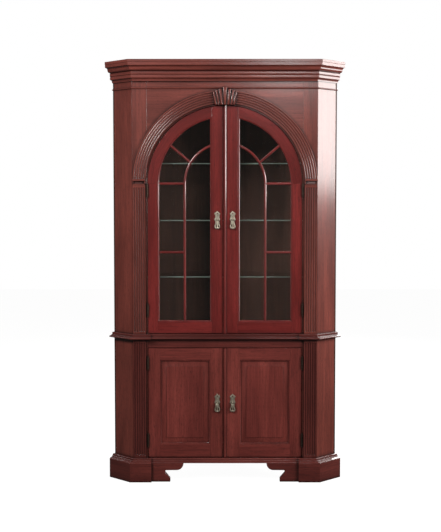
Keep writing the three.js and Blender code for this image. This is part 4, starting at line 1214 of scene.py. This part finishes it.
def make_pull_fittings(level, name, x, z, door, swing):
    """The cheeks with the swivel pin between them, the plate's pins, and the drop's eye, rib and knob."""
    cheek = [(1.6, 2.5), (2.3, 2.8), (2.3, 4.0), (1.6, 4.4)]
    stud = [(2.4, -1), (2.2, -1.9), (1.4, -2.5), (0.4, -2.7)]
    eye_rows = [(1.6, -1.9), (2.7, -1.7), (3.2, -1.0), (3.2, 1.0), (2.7, 1.7), (1.6, 1.9)]
    cheeks = [turned(x, PIN_Y, z, [(r, s * along) for r, along in cheek], "x") for s in (1, -1)]
    posts = [block(x + s * 3.4 - 0.8, x + s * 3.4 + 0.8, PIN_Y, -0.6, z - 1.7, z + 1.7) for s in (1, -1)]
    pin = turned(x, PIN_Y, z, [(1.1, -4), (1.1, 4)], "x", 12)
    studs = [turned(x, 0, z + up, stud, "y", 16) for up in (20, 8.5)]
    fittings = mesh_of(*joined(*cheeks, *posts, pin, *studs))
    finish(f"swivel_{level}_{name}", fittings, door, [], "brass", smooth=45)

    def rib_face(half, top, top_out, foot, foot_out):
        upper, lower = half * 0.8, half
        return [(x + upper, PIN_Y - top_out, z - top), (x - upper, PIN_Y - top_out, z - top),
                (x - lower, PIN_Y - foot_out, z - foot), (x + lower, PIN_Y - foot_out, z - foot)]

    eye = turned(x, PIN_Y, z, eye_rows, "x")
    rib = skin([rib_face(2.4, 5, 1.2, 40, 1.2), rib_face(1.0, 7, 2.6, 38, 2.9)])
    knob = turned(x, PIN_Y, z - 41, [(3.4, -1), (3.2, -2.2), (2.2, -3.2), (0.6, -3.6)], "y", 16)
    finish(f"drop_eye_{level}_{name}", mesh_of(*joined(eye, rib, knob)), swing, [], "brass", smooth=45)


# ---------------------------------------------------------------- room
def make_stage():
    """A plain pale floor and a pale room, seen white but lighting the cabinet only softly."""
    reach = 12.0
    mesh = bpy.data.meshes.new("floor")
    mesh.from_pydata([(x, y, 0) for x, y in rectangle(-reach, reach, -reach, reach)], [], [(0, 1, 2, 3)])
    floor = new_object("floor", mesh)
    pale, _, shader = new_material("pale_floor")
    shader.inputs["Base Color"].default_value = (0.04, 0.04, 0.04, 1)
    shader.inputs["Roughness"].default_value = 0.8
    shader.inputs["Emission Color"].default_value = (1, 1, 1, 1)
    shader.inputs["Emission Strength"].default_value = 0.97
    mesh.materials.append(pale)
    floor.visible_glossy = False
    floor.visible_diffuse = False
    floor.visible_transmission = False

    world = bpy.data.worlds.new("studio")
    bpy.context.scene.world = world
    world.use_nodes = True
    nodes = world.node_tree.nodes
    ray = nodes.new("ShaderNodeLightPath")
    walls = blended(nodes, "MIX", ray.outputs["Is Camera Ray"], (0.07, 0.066, 0.062, 1), (1, 1, 1, 1))
    link(nodes, walls, nodes["Background"].inputs["Color"])


def make_lights():
    """Soft windows: two at the right, one high at the left, a small one in front, two behind."""
    warm, cool = (1.0, 0.985, 0.965), (1.0, 0.99, 0.98)
    soft_light("window", (3.0, 0.0, 2.12), (0.5, 0.0, 1.98), (1.5, 1.2), 66, warm)
    soft_light("side_window", (3.0, -2.3, 1.95), (0.0, -2.3, 1.75), (2.8, 1.0), 235, warm)
    soft_light("skylight", (-2.5, -3.3, 3.3), (0.0, -0.3, 1.5), (1.7, 1.2), 250, cool)
    soft_light("rear_window", (2.2, 4.4, 3.0), (0.0, 0.2, 1.1), (2.0, 1.6), 150, (1.0, 0.99, 0.97))
    soft_light("rear_fill", (-3.4, 3.2, 2.4), (0.0, 0.2, 1.0), (1.8, 1.8), 90, (0.98, 0.99, 1.0))
    soft_light("upper_window", (0.52, -4.0, 2.6), (0.35, -0.3, 2.0), (0.5, 0.45), 8, (1.0, 1.0, 1.0))


def soft_light(name, place, target, size, power, colour):
    """A rectangular light at a place, in metres, turned to a target."""
    lamp = bpy.data.lights.new(name, "AREA")
    lamp.shape = "RECTANGLE"
    lamp.size, lamp.size_y = size
    lamp.energy = power
    lamp.color = colour
    made = new_object(name, lamp)
    made.location = place
    made.rotation_euler = (Vector(target) - Vector(place)).to_track_quat("-Z", "Y").to_euler()


def make_camera():
    """The camera: it stands before the middle of the face and looks slightly down."""
    eye_height, distance, downward = 1.432, 5.571, math.radians(3.37)
    lens = bpy.data.cameras.new("camera")
    lens.sensor_width = 36
    lens.lens = 74.4
    lens.shift_x = -0.0084
    made = new_object("camera", lens)
    made.location = (0, FACE - distance, eye_height)
    made.rotation_euler = Euler((math.pi / 2 - downward, 0, 0))
    bpy.context.scene.camera = made
    bpy.context.scene.view_settings.view_transform = "Standard"


# ---------------------------------------------------------------- assembly
make_case()
make_floors()
make_face_frame()
make_pilasters()
make_arch()
make_keystone()
make_mouldings()
make_plinth()
for side_name, side_hand in HANDS.items():
    make_upper_door(side_name, side_hand)
    make_lower_door(side_name, side_hand)
make_meeting_beads()
make_hinges()
make_shelf_pins()
make_pulls()
make_stage()
make_lights()
make_camera()
